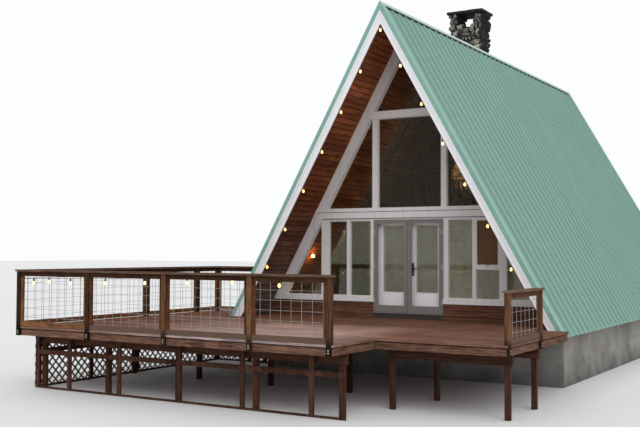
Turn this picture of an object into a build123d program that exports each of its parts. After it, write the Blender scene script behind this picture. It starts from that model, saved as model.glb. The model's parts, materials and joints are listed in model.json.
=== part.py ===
from build123d import *
import math
import os

os.makedirs("parts", exist_ok=True)

# A timber A-frame cabin with a raised front deck. Lengths are in millimetres.
# The origin is on the lowest ground, under the middle of the front wall's outer face.
# X runs to the right along the front, Y runs into the cabin and Z is up.

# Heights above the lowest ground
deck_top = 1240
floor_top = 1350
sill_bottom = 1595
sill_width = 120
head_height = 3434
ridge_height = 8010
eave_height = 1167

# Roof
eave_half_width = 3880
cabin_length = 10792
overhang = 1306
rib_height = 28
rib_base = 78
rib_crest = 30
rib_pitch = 319
sheet_gauge = 4
roof_deck_thickness = 66
panel_foot = 1100
rafter_width = 89
rafter_depth = 184
rafter_bays = 6
ridge_cap_reach = 36
ridge_half = 0.5
flashing_gauge = 6
rake_flange = 150
rake_face = 90
fascia_thickness = 38
fascia_width = 200
fascia_cap_thickness = 20
fascia_cap_width = 95

# Floor and foundation
floor_depth = 250
foundation_half_width = 3500
foundation_thickness = 200
foundation_proud = 60
mortar_joint = 2

# Front and back walls
wall_thickness = 120
trim_thickness = 24
band_thickness = 36
strip_thickness = 46
siding_thickness = 18
rake_trim_width = 235
head_rail = 14
corner_head_rail = 5
head_reveal = 43
band_width = 148
ledge_width = 71
collar_drop = 2128
collar_width = 165
glass_thickness = 8
glass_setback = 50

# Windows of the front, as X places from the middle
left_post_outer = -2217
left_post_inner = -2021
left_mullion = -1501
left_pane_end = -920
right_pane_start = 970
right_mullion = 1565
right_post_inner = 2128
right_post_outer = 2289
mullion_width = 76
transom_bottom = 2350
transom_top = 2420
upper_left_post = (-881, -745)
upper_right_post = (804, 937)

# Back windows
back_window_centre = 850
back_window_width = 900
back_window_bottom = 2080
back_window_top = 3260
back_upper_width = 1200
back_upper_bottom = 4150
back_upper_top = 5350
back_frame_width = 70

# Doorway with a pair of inner doors and a pair of outer storm doors
door_left = -832
door_right = 860
jamb_thickness = 30
frame_front = -25
frame_back = 160
threshold_height = 25
stop_depth = 95
hinge_clearance = 0.3
hinge_plate = 22
hinge_plate_gauge = 3
stop_thickness = 12
leaf_gap = 5
meeting_gap = 9
door_thickness = 45
door_stile = 130
door_top_rail = 85
door_bottom_rail = 425
storm_thickness = 35
storm_stile = 60
storm_meeting_stile = 80
storm_top_rail = 50
storm_bottom_rail = 150
door_glass_thickness = 20
storm_glass_thickness = 5
hinge_radius = 6
hinge_length = 100
hinge_inset = 250
handle_backset = 62
handle_height = 1000
handle_plate = (44, 6, 240)
lever_length = 120
lever_section = (12, 20)
lever_setback = 30
spindle_radius = 11
lock_rise = 80
lock_radius = 17
lock_depth = 12

# Loft seen through the upper windows
loft_front = 3450
loft_drop = 40
loft_thickness = 150
loft_rail_height = 900
baluster = 38
baluster_pitch = 130

# Chimney
chimney_left = -1040
chimney_right = -85
chimney_front = 4620
chimney_back = 5340
chimney_top = 9120
chimney_mouth_height = 440
chimney_mouth_left = -760
chimney_mouth_right = -290
cap_thickness = 70
cap_lip = 45

# Deck
deck_left = -5455
deck_right = 1645
deck_front = -6050
deck_back = 300
wing_right = 3980
wing_front = -4600
board_thickness = 38
board_overhang = 25
joist_depth = 140
joist_width = 38
joist_pitch = 610
beam_depth = 184
beam_width = 76
beam_lines = (-5500, -2900)
support_post = 89
roof_clearance = 54
fascia_clearance = 10
edge_clearance = 2

# Railing
rail_post = 89
rail_height = 1105
low_rail_height = 865
rail_bay = 1840
rail_bays = 4
cap_board = 38
cap_width = 140
frame_board = 38
frame_stile = 60
rail_board = 89
bottom_gap = 10
wire = 5
wire_pitch_across = 203
wire_pitch_up = 165
wing_rail_length = 1555
wing_beam_setback = 400

# Skirt below the deck
skirt_setback = 410
skirt_board = 38
skirt_stud = 89
skirt_rail_top = 760
skirt_studs = (-5410, -4530, -3240, -1800, -400, 1000)
skirt_bay = 1450
lath_width = 38
lath_thickness = 8
lath_pitch = 127

slope = (ridge_height - eave_height) / eave_half_width
slant = math.sqrt(1 + slope ** 2)
sheet_depth = rib_height + sheet_gauge
soffit_depth = sheet_depth + roof_deck_thickness
rake_inner_depth = soffit_depth + rake_trim_width
roof_front = -overhang
roof_back = cabin_length + overhang
door_middle = (door_left + door_right) / 2
joist_top = deck_top - board_thickness
joist_bottom = joist_top - joist_depth
foundation_top = floor_top - floor_depth
sill_top = sill_bottom + sill_width
band_bottom = head_height + head_reveal
band_top = band_bottom + band_width
upper_sill_top = band_top + ledge_width
collar_top = ridge_height - collar_drop
collar_bottom = collar_top - collar_width


def roof_x(height, depth=0):
    """Half width at a height, on a line that lies this deep under the roof's outer face."""
    return (ridge_height - height - depth * slant) / slope


def roof_z(x, depth=0):
    """Height over a place in X, on a line that lies this deep under the roof's outer face."""
    return ridge_height - slope * abs(x) - depth * slant


def block(x, y, z):
    """A plain block from its ranges in X, Y and Z."""
    size = Box(x[1] - x[0], y[1] - y[0], z[1] - z[0], align=(Align.MIN, Align.MIN, Align.MIN))
    return Pos(x[0], y[0], z[0]) * size


def prism(points, y):
    """An outline in X and Z, carried straight along Y."""
    outline = make_face(Polyline(*[(px, y[0], pz) for px, pz in points], close=True))
    return extrude(outline, amount=y[1] - y[0], dir=(0, 1, 0))


def on_side(side, points):
    """The same outline on the left (-1) or the right (1) of the ridge."""
    return [(side * px, pz) for px, pz in points]


def slope_board(side, outer, inner, bottom, y, start=ridge_half):
    """A board that lies along one roof slope, from the ridge down to a level foot."""
    points = [
        (start, roof_z(start, outer)),
        (roof_x(bottom, outer), bottom),
        (roof_x(bottom, inner), bottom),
        (start, roof_z(start, inner)),
    ]
    return prism(on_side(side, points), y)


def save(name, *solids):
    """Writes one sub-part, as one solid or as several that don't touch."""
    pieces = []
    for solid in solids:
        pieces.extend(solid.solids())
    shape = pieces[0] if len(pieces) == 1 else Compound(children=pieces)
    export_step(shape, f"parts/{name}.step")


chimney_hole = block((chimney_left, chimney_right), (chimney_front, chimney_back), (0, chimney_top))


# Foundation walls, floor and loft
def foundation():
    side_y = (-foundation_proud, cabin_length + foundation_proud)
    inner = foundation_half_width - foundation_thickness
    height = (0, foundation_top)
    left = block((-foundation_half_width, -inner), side_y, height)
    right = block((inner, foundation_half_width), side_y, height)
    across = (-inner + mortar_joint, inner - mortar_joint)
    front = block(across, (side_y[0], side_y[0] + foundation_thickness), height)
    back = block(across, (side_y[1] - foundation_thickness, side_y[1]), height)
    save("foundation_walls", left, right, front, back)


def floors():
    points = [
        (-roof_x(foundation_top, soffit_depth), foundation_top),
        (roof_x(foundation_top, soffit_depth), foundation_top),
        (roof_x(floor_top, soffit_depth), floor_top),
        (-roof_x(floor_top, soffit_depth), floor_top),
    ]
    save("cabin_floor", prism(points, (0, cabin_length)) - chimney_hole)
    top = upper_sill_top - loft_drop
    bottom = top - loft_thickness
    inside = soffit_depth + rafter_depth
    loft_points = [
        (-roof_x(bottom, inside), bottom),
        (roof_x(bottom, inside), bottom),
        (roof_x(top, inside), top),
        (-roof_x(top, inside), top),
    ]
    save("loft_floor", prism(loft_points, (loft_front, cabin_length - wall_thickness)) - chimney_hole)
    rail_top = top + loft_rail_height
    reach = roof_x(rail_top, inside)
    rail = block((-reach, reach), (loft_front, loft_front + rail_board), (rail_top - baluster, rail_top))
    middle = loft_front + rail_board / 2
    across_y = (middle - baluster / 2, middle + baluster / 2)
    count = int(reach / baluster_pitch)
    for step in range(-count, count + 1):
        centre = step * baluster_pitch
        across = (centre - baluster / 2, centre + baluster / 2)
        rail += block(across, across_y, (top, rail_top - baluster))
    save("loft_rail", rail)


# Roof panels, rafters, ribbed sheets, ridge cap and edge boards
def ribbed_sheet(side):
    """The sheet's section stands at the ridge and is carried down the slope."""
    length = roof_back - roof_front
    ribs = int(length / rib_pitch)
    first = roof_front + (length - (ribs - 1) * rib_pitch) / 2
    start = side * ridge_half
    pan = roof_z(start, rib_height)
    crest = roof_z(start)
    under = roof_z(start, sheet_depth)
    points = [(roof_front, under), (roof_front, pan)]
    for step in range(ribs):
        middle = first + step * rib_pitch
        points.append((middle - rib_base / 2, pan))
        points.append((middle - rib_crest / 2, crest))
        points.append((middle + rib_crest / 2, crest))
        points.append((middle + rib_base / 2, pan))
    points.append((roof_back, pan))
    points.append((roof_back, under))
    section = make_face(Polyline(*[(start, py, pz) for py, pz in points], close=True))
    run = (eave_half_width - ridge_half) * slant
    return extrude(section, amount=run, dir=(side / slant, 0, -slope / slant))


def roof():
    board_y = (roof_front + fascia_thickness, roof_back - fascia_thickness)
    for side, name in ((-1, "left"), (1, "right")):
        panel = slope_board(side, sheet_depth, soffit_depth, panel_foot, board_y)
        save(f"{name}_roof_panel", panel - chimney_hole)
        save(f"{name}_roof_sheet", ribbed_sheet(side) - chimney_hole)
    rafters = []
    inner_start = wall_thickness
    inner_end = cabin_length - wall_thickness - rafter_width
    for step in range(rafter_bays + 1):
        y_start = inner_start + step * (inner_end - inner_start) / rafter_bays
        pair_y = (y_start, y_start + rafter_width)
        for side in (-1, 1):
            rafter = slope_board(side, soffit_depth, soffit_depth + rafter_depth, floor_top, pair_y)
            rafters.append(rafter - chimney_hole)
    save("rafters", *rafters)


def ridge_cap():
    points = [
        (0, roof_z(0, -flashing_gauge)),
        (ridge_cap_reach, roof_z(ridge_cap_reach, -flashing_gauge)),
        (ridge_cap_reach, roof_z(ridge_cap_reach)),
        (0, roof_z(0)),
        (-ridge_cap_reach, roof_z(ridge_cap_reach)),
        (-ridge_cap_reach, roof_z(ridge_cap_reach, -flashing_gauge)),
    ]
    edge = fascia_cap_thickness
    save("ridge_cap", prism(points, (roof_front - edge, roof_back + edge)))


def edge_boards():
    fascias = []
    caps = []
    trims = []
    for outward, face in ((-1, roof_front), (1, roof_back)):
        board_y = sorted((face, face - outward * fascia_thickness))
        cap_y = sorted((face, face + outward * fascia_cap_thickness))
        front = face + outward * fascia_cap_thickness
        leg_y = sorted((front, front + outward * flashing_gauge))
        flange_y = sorted((front, front - outward * rake_flange))
        for side in (-1, 1):
            fascia_inner = sheet_depth + fascia_width
            fascias.append(slope_board(side, sheet_depth, fascia_inner, eave_height, board_y))
            cap_inner = sheet_depth + fascia_cap_width
            caps.append(slope_board(side, sheet_depth, cap_inner, eave_height, cap_y))
            leg = slope_board(side, -flashing_gauge, rake_face - flashing_gauge, eave_height, leg_y)
            start = ridge_cap_reach + edge_clearance
            flange = slope_board(side, -flashing_gauge, 0, eave_height, flange_y, start)
            trims.append(leg + flange)
    save("fascia_boards", *fascias)
    save("fascia_caps", *caps)
    save("rake_flashings", *trims)


# Front wall
def pane(points, glass):
    """One opening of a frame, whose glass joins the given list."""
    glass.append(prism(points, (glass_setback, glass_setback + glass_thickness)))
    return prism(points, (-1, wall_thickness + 1))


def rectangle(x, z):
    return [(x[0], z[0]), (x[1], z[0]), (x[1], z[1]), (x[0], z[1])]


def corner_pane(post):
    """The slanted pane between a post and the rake board, cut level where it would reach the header."""
    top = head_height - corner_head_rail
    points = [(post, sill_top), (roof_x(sill_top, rake_inner_depth), sill_top)]
    if roof_z(post, rake_inner_depth) > top:
        points.append((roof_x(top, rake_inner_depth), top))
        points.append((post, top))
    else:
        points.append((post, roof_z(post, rake_inner_depth)))
    return points


def lower_windows():
    glass = []
    wall_y = (0, wall_thickness)
    heights = (sill_top, head_height - head_rail)
    left = [
        (-roof_x(sill_bottom, soffit_depth), sill_bottom),
        (door_left, sill_bottom),
        (door_left, head_height),
        (-roof_x(head_height, soffit_depth), head_height),
    ]
    left_frame = prism(left, wall_y)
    left_frame -= pane(on_side(-1, corner_pane(-left_post_outer)), glass)
    half = mullion_width / 2
    left_frame -= pane(rectangle((left_post_inner, left_mullion - half), heights), glass)
    left_frame -= pane(rectangle((left_mullion + half, left_pane_end), heights), glass)
    right = [
        (door_right, sill_bottom),
        (roof_x(sill_bottom, soffit_depth), sill_bottom),
        (roof_x(head_height, soffit_depth), head_height),
        (door_right, head_height),
    ]
    right_frame = prism(right, wall_y)
    right_frame -= pane(rectangle((right_pane_start, right_mullion - half), heights), glass)
    outer = (right_mullion + half, right_post_inner)
    right_frame -= pane(rectangle(outer, (transom_top, heights[1])), glass)
    right_frame -= pane(rectangle(outer, (sill_top, transom_bottom)), glass)
    right_frame -= pane(corner_pane(right_post_outer), glass)
    return [left_frame, right_frame], glass


def upper_windows():
    glass = []
    outline = [
        (-roof_x(upper_sill_top, soffit_depth), upper_sill_top),
        (roof_x(upper_sill_top, soffit_depth), upper_sill_top),
        (0, roof_z(0, soffit_depth)),
    ]
    frame = prism(outline, (0, wall_thickness))
    centre = rectangle((upper_left_post[1], upper_right_post[0]), (upper_sill_top, collar_bottom))
    frame -= pane(centre, glass)
    left = [
        (-roof_x(upper_sill_top, rake_inner_depth), upper_sill_top),
        (upper_left_post[0], upper_sill_top),
        (upper_left_post[0], collar_bottom),
        (-roof_x(collar_bottom, rake_inner_depth), collar_bottom),
    ]
    frame -= pane(left, glass)
    right = [
        (upper_right_post[1], upper_sill_top),
        (roof_x(upper_sill_top, rake_inner_depth), upper_sill_top),
        (upper_right_post[1], roof_z(upper_right_post[1], rake_inner_depth)),
    ]
    frame -= pane(right, glass)
    top = [
        (-roof_x(collar_top, rake_inner_depth), collar_top),
        (roof_x(collar_top, rake_inner_depth), collar_top),
        (0, roof_z(0, rake_inner_depth)),
    ]
    frame -= pane(top, glass)
    return frame, glass


def spanning_board(low, high, depth=None):
    """An outline from slope to slope between two heights."""
    inset = soffit_depth if depth is None else depth
    return [
        (-roof_x(low, inset), low),
        (roof_x(low, inset), low),
        (roof_x(high, inset), high),
        (-roof_x(high, inset), high),
    ]


def wall_base_and_header():
    left = [
        (-roof_x(floor_top, soffit_depth), floor_top),
        (door_left, floor_top),
        (door_left, sill_bottom),
        (-roof_x(sill_bottom, soffit_depth), sill_bottom),
    ]
    right = [
        (door_right, floor_top),
        (roof_x(floor_top, soffit_depth), floor_top),
        (roof_x(sill_bottom, soffit_depth), sill_bottom),
        (door_right, sill_bottom),
    ]
    header = prism(spanning_board(head_height, upper_sill_top), (0, wall_thickness))
    save("front_wall", prism(left, (0, wall_thickness)), prism(right, (0, wall_thickness)), header)
    low = deck_top + edge_clearance
    siding_y = (-siding_thickness, 0)
    left_siding = [
        (-roof_x(low, soffit_depth), low),
        (door_left, low),
        (door_left, sill_bottom),
        (-roof_x(sill_bottom, soffit_depth), sill_bottom),
    ]
    right_siding = [
        (door_right, low),
        (roof_x(low, soffit_depth), low),
        (roof_x(sill_bottom, soffit_depth), sill_bottom),
        (door_right, sill_bottom),
    ]
    save("front_base_siding", prism(left_siding, siding_y), prism(right_siding, siding_y))


def facade_trim():
    trim_y = (-trim_thickness, 0)
    back_y = (cabin_length, cabin_length + trim_thickness)
    rakes = []
    for board_y in (trim_y, back_y):
        for side in (-1, 1):
            lower = [
                (roof_x(sill_bottom, soffit_depth), sill_bottom),
                (roof_x(band_bottom, soffit_depth), band_bottom),
                (roof_x(band_bottom, rake_inner_depth), band_bottom),
                (roof_x(sill_bottom, rake_inner_depth), sill_bottom),
            ]
            rakes.append(prism(on_side(side, lower), board_y))
            rakes.append(slope_board(side, soffit_depth, rake_inner_depth, upper_sill_top, board_y))
    save("wall_rake_trims", *rakes)
    sill_y = (-trim_thickness, 0)
    inner = roof_x(sill_bottom, rake_inner_depth)
    left = [(-inner, sill_bottom), (door_left, sill_bottom), (door_left, sill_top)]
    left.append((-roof_x(sill_top, rake_inner_depth), sill_top))
    right = [(door_right, sill_bottom), (inner, sill_bottom)]
    right.append((roof_x(sill_top, rake_inner_depth), sill_top))
    right.append((door_right, sill_top))
    save("sill_trims", prism(left, sill_y), prism(right, sill_y))
    band = spanning_board(band_bottom, band_top)
    front_band = prism(band, (-band_thickness, 0))
    back_band = prism(band, (cabin_length, cabin_length + band_thickness))
    shelf = spanning_board(band_top, upper_sill_top)
    front_shelf = prism(shelf, (-strip_thickness, 0))
    back_shelf = prism(shelf, (cabin_length, cabin_length + strip_thickness))
    save("band_ledges", front_shelf, back_shelf)
    collar = spanning_board(collar_bottom, collar_top, rake_inner_depth)
    front_collar = prism(collar, (-trim_thickness, 0))
    back_collar = prism(collar, (cabin_length, cabin_length + trim_thickness))
    save("band_and_collar_boards", front_band, back_band, front_collar, back_collar)


def back_wall():
    outline = [
        (-roof_x(floor_top, soffit_depth), floor_top),
        (roof_x(floor_top, soffit_depth), floor_top),
        (0, roof_z(0, soffit_depth)),
    ]
    wall_y = (cabin_length - wall_thickness, cabin_length)
    wall = prism(outline, wall_y)
    half = back_window_width / 2
    upper = back_upper_width / 2
    holes = [
        ((-back_window_centre - half, -back_window_centre + half), (back_window_bottom, back_window_top)),
        ((back_window_centre - half, back_window_centre + half), (back_window_bottom, back_window_top)),
        ((-upper, upper), (back_upper_bottom, back_upper_top)),
    ]
    frames = []
    glass = []
    frame_y = (wall_y[0], wall_y[1] + trim_thickness)
    glass_y = (wall_y[1] - glass_setback - glass_thickness, wall_y[1] - glass_setback)
    for x, z in holes:
        wall -= block(x, (wall_y[0] - 1, wall_y[1] + 1), z)
        inner_x = (x[0] + back_frame_width, x[1] - back_frame_width)
        inner_z = (z[0] + back_frame_width, z[1] - back_frame_width)
        frame = block(x, frame_y, z) - block(inner_x, (frame_y[0] - 1, frame_y[1] + 1), inner_z)
        frames.append(frame)
        glass.append(block(inner_x, glass_y, inner_z))
    save("back_wall", wall)
    save("back_window_frames", *frames)
    return glass


def windows():
    lower_frames, lower_glass = lower_windows()
    upper_frame, upper_glass = upper_windows()
    save("front_window_frames", *lower_frames, upper_frame)
    save("window_glass", *lower_glass, *upper_glass, *back_wall())


# Doorway
opening_left = door_left + jamb_thickness
opening_right = door_right - jamb_thickness
leaf_bottom = floor_top + threshold_height + leaf_gap
leaf_top = head_height - jamb_thickness - leaf_gap
storm_front = frame_front
inner_door_front = storm_front + storm_thickness + stop_depth + 2 * leaf_gap


def door_frame():
    frame_y = (frame_front, frame_back)
    left = block((door_left, opening_left), frame_y, (floor_top, head_height))
    right = block((opening_right, door_right), frame_y, (floor_top, head_height))
    head_z = (head_height - jamb_thickness, head_height)
    head = block((opening_left, opening_right), frame_y, head_z)
    threshold_z = (floor_top, floor_top + threshold_height)
    threshold = block((opening_left, opening_right), frame_y, threshold_z)
    stop_y = (storm_front + storm_thickness + leaf_gap, inner_door_front - leaf_gap)
    stop_z = (floor_top + threshold_height, head_z[0])
    left_stop = block((opening_left, opening_left + stop_thickness), stop_y, stop_z)
    right_stop = block((opening_right - stop_thickness, opening_right), stop_y, stop_z)
    head_stop_z = (head_z[0] - stop_thickness, head_z[0])
    head_stop = block((opening_left, opening_right), stop_y, head_stop_z)
    save("door_frame", left + right + head + threshold + left_stop + right_stop + head_stop)


def leaf(x, y, stiles, rails):
    """A glazed leaf: its stiles and rails, and the room for its glass."""
    slab = block(x, y, (leaf_bottom, leaf_top))
    glass_x = (x[0] + stiles[0], x[1] - stiles[1])
    glass_z = (leaf_bottom + rails[0], leaf_top - rails[1])
    return slab - block(glass_x, (y[0] - 1, y[1] + 1), glass_z), glass_x, glass_z


def hinge(side, pin_x, face_y, outward, height):
    """A hinge on the jamb: its barrel stands clear of the leaf's face, with a plate on the jamb's edge."""
    pin_y = face_y + outward * (hinge_radius + hinge_clearance)
    barrel = Pos(pin_x, pin_y, height) * Cylinder(hinge_radius, hinge_length)
    jamb_face = pin_x + side * leaf_gap / 2
    plate_x = sorted((jamb_face, jamb_face + side * hinge_plate))
    plate_y = sorted((face_y, face_y + outward * hinge_plate_gauge))
    return barrel + block(plate_x, plate_y, (height - hinge_length / 2, height + hinge_length / 2))


def door_handle(edge_x, face_y):
    x = edge_x + handle_backset
    z = floor_top + handle_height
    width, gauge, height = handle_plate
    front = face_y - gauge
    plate = block((x - width / 2, x + width / 2), (front, face_y), (z - height / 2, z + height / 2))
    spindle = Pos(x, front - lever_setback / 2, z) * Rot(90, 0, 0) * Cylinder(spindle_radius, lever_setback)
    lever_back = front - lever_setback
    lever_z = (z - lever_section[1] / 2, z + lever_section[1] / 2)
    lever_x = (x - spindle_radius, x + lever_length - spindle_radius)
    lever = block(lever_x, (lever_back - lever_section[0], lever_back), lever_z)
    lock = Pos(x, front - lock_depth / 2, z + lock_rise) * Rot(90, 0, 0) * Cylinder(lock_radius, lock_depth)
    save("door_handle", plate + spindle + lever + lock)


def doors():
    left_x = (opening_left + leaf_gap, door_middle - meeting_gap / 2)
    right_x = (door_middle + meeting_gap / 2, opening_right - leaf_gap)
    inner_y = (inner_door_front, inner_door_front + door_thickness)
    storm_y = (storm_front, storm_front + storm_thickness)
    glass_middle = (inner_y[0] + inner_y[1]) / 2
    glass_y = (glass_middle - door_glass_thickness / 2, glass_middle + door_glass_thickness / 2)
    storm_middle = (storm_y[0] + storm_y[1]) / 2
    pane_y = (storm_middle - storm_glass_thickness / 2, storm_middle + storm_glass_thickness / 2)
    middle = (leaf_bottom + leaf_top) / 2
    spread = (leaf_top - leaf_bottom) / 2 - hinge_inset
    all_hinges = []
    for name, side, x in (("left", -1, left_x), ("right", 1, right_x)):
        rails = (door_bottom_rail, door_top_rail)
        door, glass_x, glass_z = leaf(x, inner_y, (door_stile, door_stile), rails)
        save(f"{name}_door", door)
        save(f"{name}_door_glass", block(glass_x, glass_y, glass_z))
        stiles = (storm_stile, storm_meeting_stile)[::-side]
        storm, pane_x, pane_z = leaf(x, storm_y, stiles, (storm_bottom_rail, storm_top_rail))
        save(f"{name}_storm_door", storm)
        save(f"{name}_storm_glass", block(pane_x, pane_y, pane_z))
        pin_x = opening_left + leaf_gap / 2 if side < 0 else opening_right - leaf_gap / 2
        for height in (middle - spread, middle, middle + spread):
            all_hinges.append(hinge(side, pin_x, inner_y[1], 1, height))
            all_hinges.append(hinge(side, pin_x, storm_y[0], -1, height))
    save("door_hinges", *all_hinges)
    door_handle(right_x[0], inner_y[0])


# Chimney
def chimney():
    body = block((chimney_left, chimney_right), (chimney_front, chimney_back), (0, chimney_top))
    mouth_x = (chimney_mouth_left, chimney_mouth_right)
    mouth_y = (chimney_front - 1, chimney_back + 1)
    body -= block(mouth_x, mouth_y, (chimney_top - chimney_mouth_height, chimney_top + 1))
    save("chimney_stack", body)
    cap_x = (chimney_left - cap_lip, chimney_right + cap_lip)
    cap_y = (chimney_front - cap_lip, chimney_back + cap_lip)
    save("chimney_cap", block(cap_x, cap_y, (chimney_top, chimney_top + cap_thickness)))


# Deck
notch_outer = eave_half_width + roof_clearance
notch_inner = roof_x(deck_top, sheet_depth + fascia_width) - fascia_clearance
notch_front = roof_front - fascia_cap_thickness - roof_clearance
facade_edge = -siding_thickness - edge_clearance
post_proud = rail_post - joist_width


def post_solid(x, y, height, sides):
    """A post notched over the rim on the named sides, with its outer part bolted to it."""
    half = rail_post / 2
    post_x = (x - half, x + half)
    post_y = (y - half, y + half)
    top = deck_top + height - cap_board
    post = block(post_x, post_y, (joist_top, top))
    if "front" in sides:
        post += block(post_x, (y - half, y - half + post_proud), (joist_bottom, joist_top))
    if "left" in sides:
        post += block((x - half, x - half + post_proud), post_y, (joist_bottom, joist_top))
    if "right" in sides:
        post += block((x + half - post_proud, x + half), post_y, (joist_bottom, joist_top))
    if "back" in sides:
        post += block(post_x, (y + half - post_proud, y + half), (joist_bottom, joist_top))
    return post


front_line = deck_front - post_proud + rail_post / 2
left_line = deck_left - post_proud + rail_post / 2
back_line = deck_back + post_proud - rail_post / 2
right_line = wing_right + post_proud - rail_post / 2
front_posts = [left_line + step * rail_bay for step in range(rail_bays)]
front_posts.append(deck_right - rail_post / 2 - edge_clearance)
side_posts = [front_line + step * rail_bay for step in range(1, rail_bays)]
back_rail_end = -notch_outer - rail_post / 2
wing_post_front = wing_front + rail_post / 2
wing_post_back = wing_post_front + wing_rail_length


def post_places():
    """Every railing post: its place, its height over the deck and the rims that it laps."""
    places = [(left_line, front_line, rail_height, ("front", "left"))]
    for x in front_posts[1:]:
        places.append((x, front_line, rail_height, ("front",)))
    for y in side_posts:
        places.append((left_line, y, rail_height, ("left",)))
    places.append((left_line, back_line, rail_height, ("left", "back")))
    places.append((back_rail_end, back_line, rail_height, ("back",)))
    places.append((right_line, wing_post_front, low_rail_height, ("right",)))
    places.append((right_line, wing_post_back, low_rail_height, ("right",)))
    return places


def deck_boards():
    lip = board_overhang
    outline = [
        (deck_left - lip, deck_front - lip),
        (deck_right + lip, deck_front - lip),
        (deck_right + lip, wing_front - lip),
        (wing_right + lip, wing_front - lip),
        (wing_right + lip, notch_front),
        (notch_inner, notch_front),
        (notch_inner, facade_edge),
        (-notch_inner, facade_edge),
        (-notch_inner, notch_front),
        (-notch_outer, notch_front),
        (-notch_outer, deck_back + lip),
        (deck_left - lip, deck_back + lip),
    ]
    face = make_face(Polyline(*[(px, py, joist_top) for px, py in outline], close=True))
    slab = extrude(face, amount=board_thickness, dir=(0, 0, 1))
    reach = rail_post / 2 + edge_clearance
    for x, y, _, _ in post_places():
        slab -= block((x - reach, x + reach), (y - reach, y + reach), (joist_top - 1, deck_top + 1))
    save("deck_boards", slab)


def deck_rims():
    z = (joist_bottom, joist_top)
    t = joist_width
    gap = edge_clearance
    rims = [
        block((deck_left, deck_right), (deck_front, deck_front + t), z),
        block((deck_left, deck_left + t), (deck_front + t + gap, deck_back - t - gap), z),
        block((deck_left, -notch_outer), (deck_back - t, deck_back), z),
        block((deck_right - t, deck_right), (deck_front + t + gap, wing_front - gap), z),
        block((deck_right - t, wing_right), (wing_front, wing_front + t), z),
        block((wing_right - t, wing_right), (wing_front + t + gap, notch_front), z),
    ]
    return rims


def deck_joists():
    z = (joist_bottom, joist_top)
    ledger_y = (-foundation_proud - joist_width, -foundation_proud)
    gap = edge_clearance
    joists = [block((-notch_inner, notch_inner), ledger_y, z)]
    inside_front = deck_front + joist_width + gap
    count = int((deck_right - deck_left) / joist_pitch)
    for step in range(1, count + 1):
        x = deck_left + step * joist_pitch
        across = (x - joist_width / 2, x + joist_width / 2)
        if x < -notch_outer - joist_width:
            joists.append(block(across, (inside_front, deck_back - joist_width - gap), z))
        elif x < -notch_inner + joist_width:
            joists.append(block(across, (inside_front, notch_front), z))
        else:
            joists.append(block(across, (inside_front, ledger_y[0] - gap), z))
    wing_count = int((wing_right - deck_right) / joist_pitch)
    for step in range(1, wing_count + 1):
        x = deck_right + step * joist_pitch
        across = (x - joist_width / 2, x + joist_width / 2)
        end = ledger_y[0] - gap if x < notch_inner - joist_width else notch_front
        joists.append(block(across, (wing_front + joist_width + gap, end), z))
    return joists


def deck_supports():
    beam_z = (joist_bottom - beam_depth, joist_bottom)
    post_z = (0, beam_z[0])
    inset = support_post
    beams = []
    posts = []
    for line, last in ((beam_lines[0], deck_right), (beam_lines[1], wing_right)):
        beam_x = (deck_left + joist_width, last - joist_width)
        beams.append(block(beam_x, (line - beam_width / 2, line + beam_width / 2), beam_z))
        run = beam_x[1] - beam_x[0] - 2 * inset
        bays = round(run / rail_bay)
        for step in range(bays + 1):
            x = beam_x[0] + inset + step * run / bays
            half = support_post / 2
            posts.append(block((x - half, x + half), (line - half, line + half), post_z))
    wing_line = wing_front + wing_beam_setback
    wing_x = (deck_right + joist_width, wing_right - joist_width)
    beams.append(block(wing_x, (wing_line - beam_width / 2, wing_line + beam_width / 2), beam_z))
    for x in (wing_x[0] + inset, wing_x[1] - inset):
        half = support_post / 2
        posts.append(block((x - half, x + half), (wing_line - half, wing_line + half), post_z))
    save("deck_beams", *beams)
    save("deck_posts", *posts)


# Railing
def framed_bay(start, end, line, along_x, height):
    """One framed wire panel between two posts: its wooden frame and its wire grid."""
    low = deck_top + bottom_gap
    high = deck_top + height - cap_board
    first = start + rail_post / 2
    last = end - rail_post / 2
    half = frame_board / 2
    inner_first = first + frame_stile
    inner_last = last - frame_stile
    inner_low = low + rail_board
    inner_high = high - rail_board
    wires_up = []
    wires_across = []
    place = inner_first + wire_pitch_across / 2
    while place < inner_last - wire:
        wires_up.append(place)
        place += wire_pitch_across
    place = inner_low + wire_pitch_up / 2
    while place < inner_high - wire:
        wires_across.append(place)
        place += wire_pitch_up

    def piece(run, depth, z):
        across = (line - depth, line + depth)
        return block(run, across, z) if along_x else block(across, run, z)

    hole = piece((inner_first, inner_last), half + 1, (inner_low, inner_high))
    frame = piece((first, last), half, (low, high)) - hole
    bars = []
    for z in wires_across:
        bars.append(piece((inner_first, inner_last), wire / 2, (z - wire / 2, z + wire / 2)))
    for place in wires_up:
        bars.append(piece((place - wire / 2, place + wire / 2), wire / 2, (inner_low, inner_high)))
    return frame, bars[0].fuse(*bars[1:])


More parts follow.
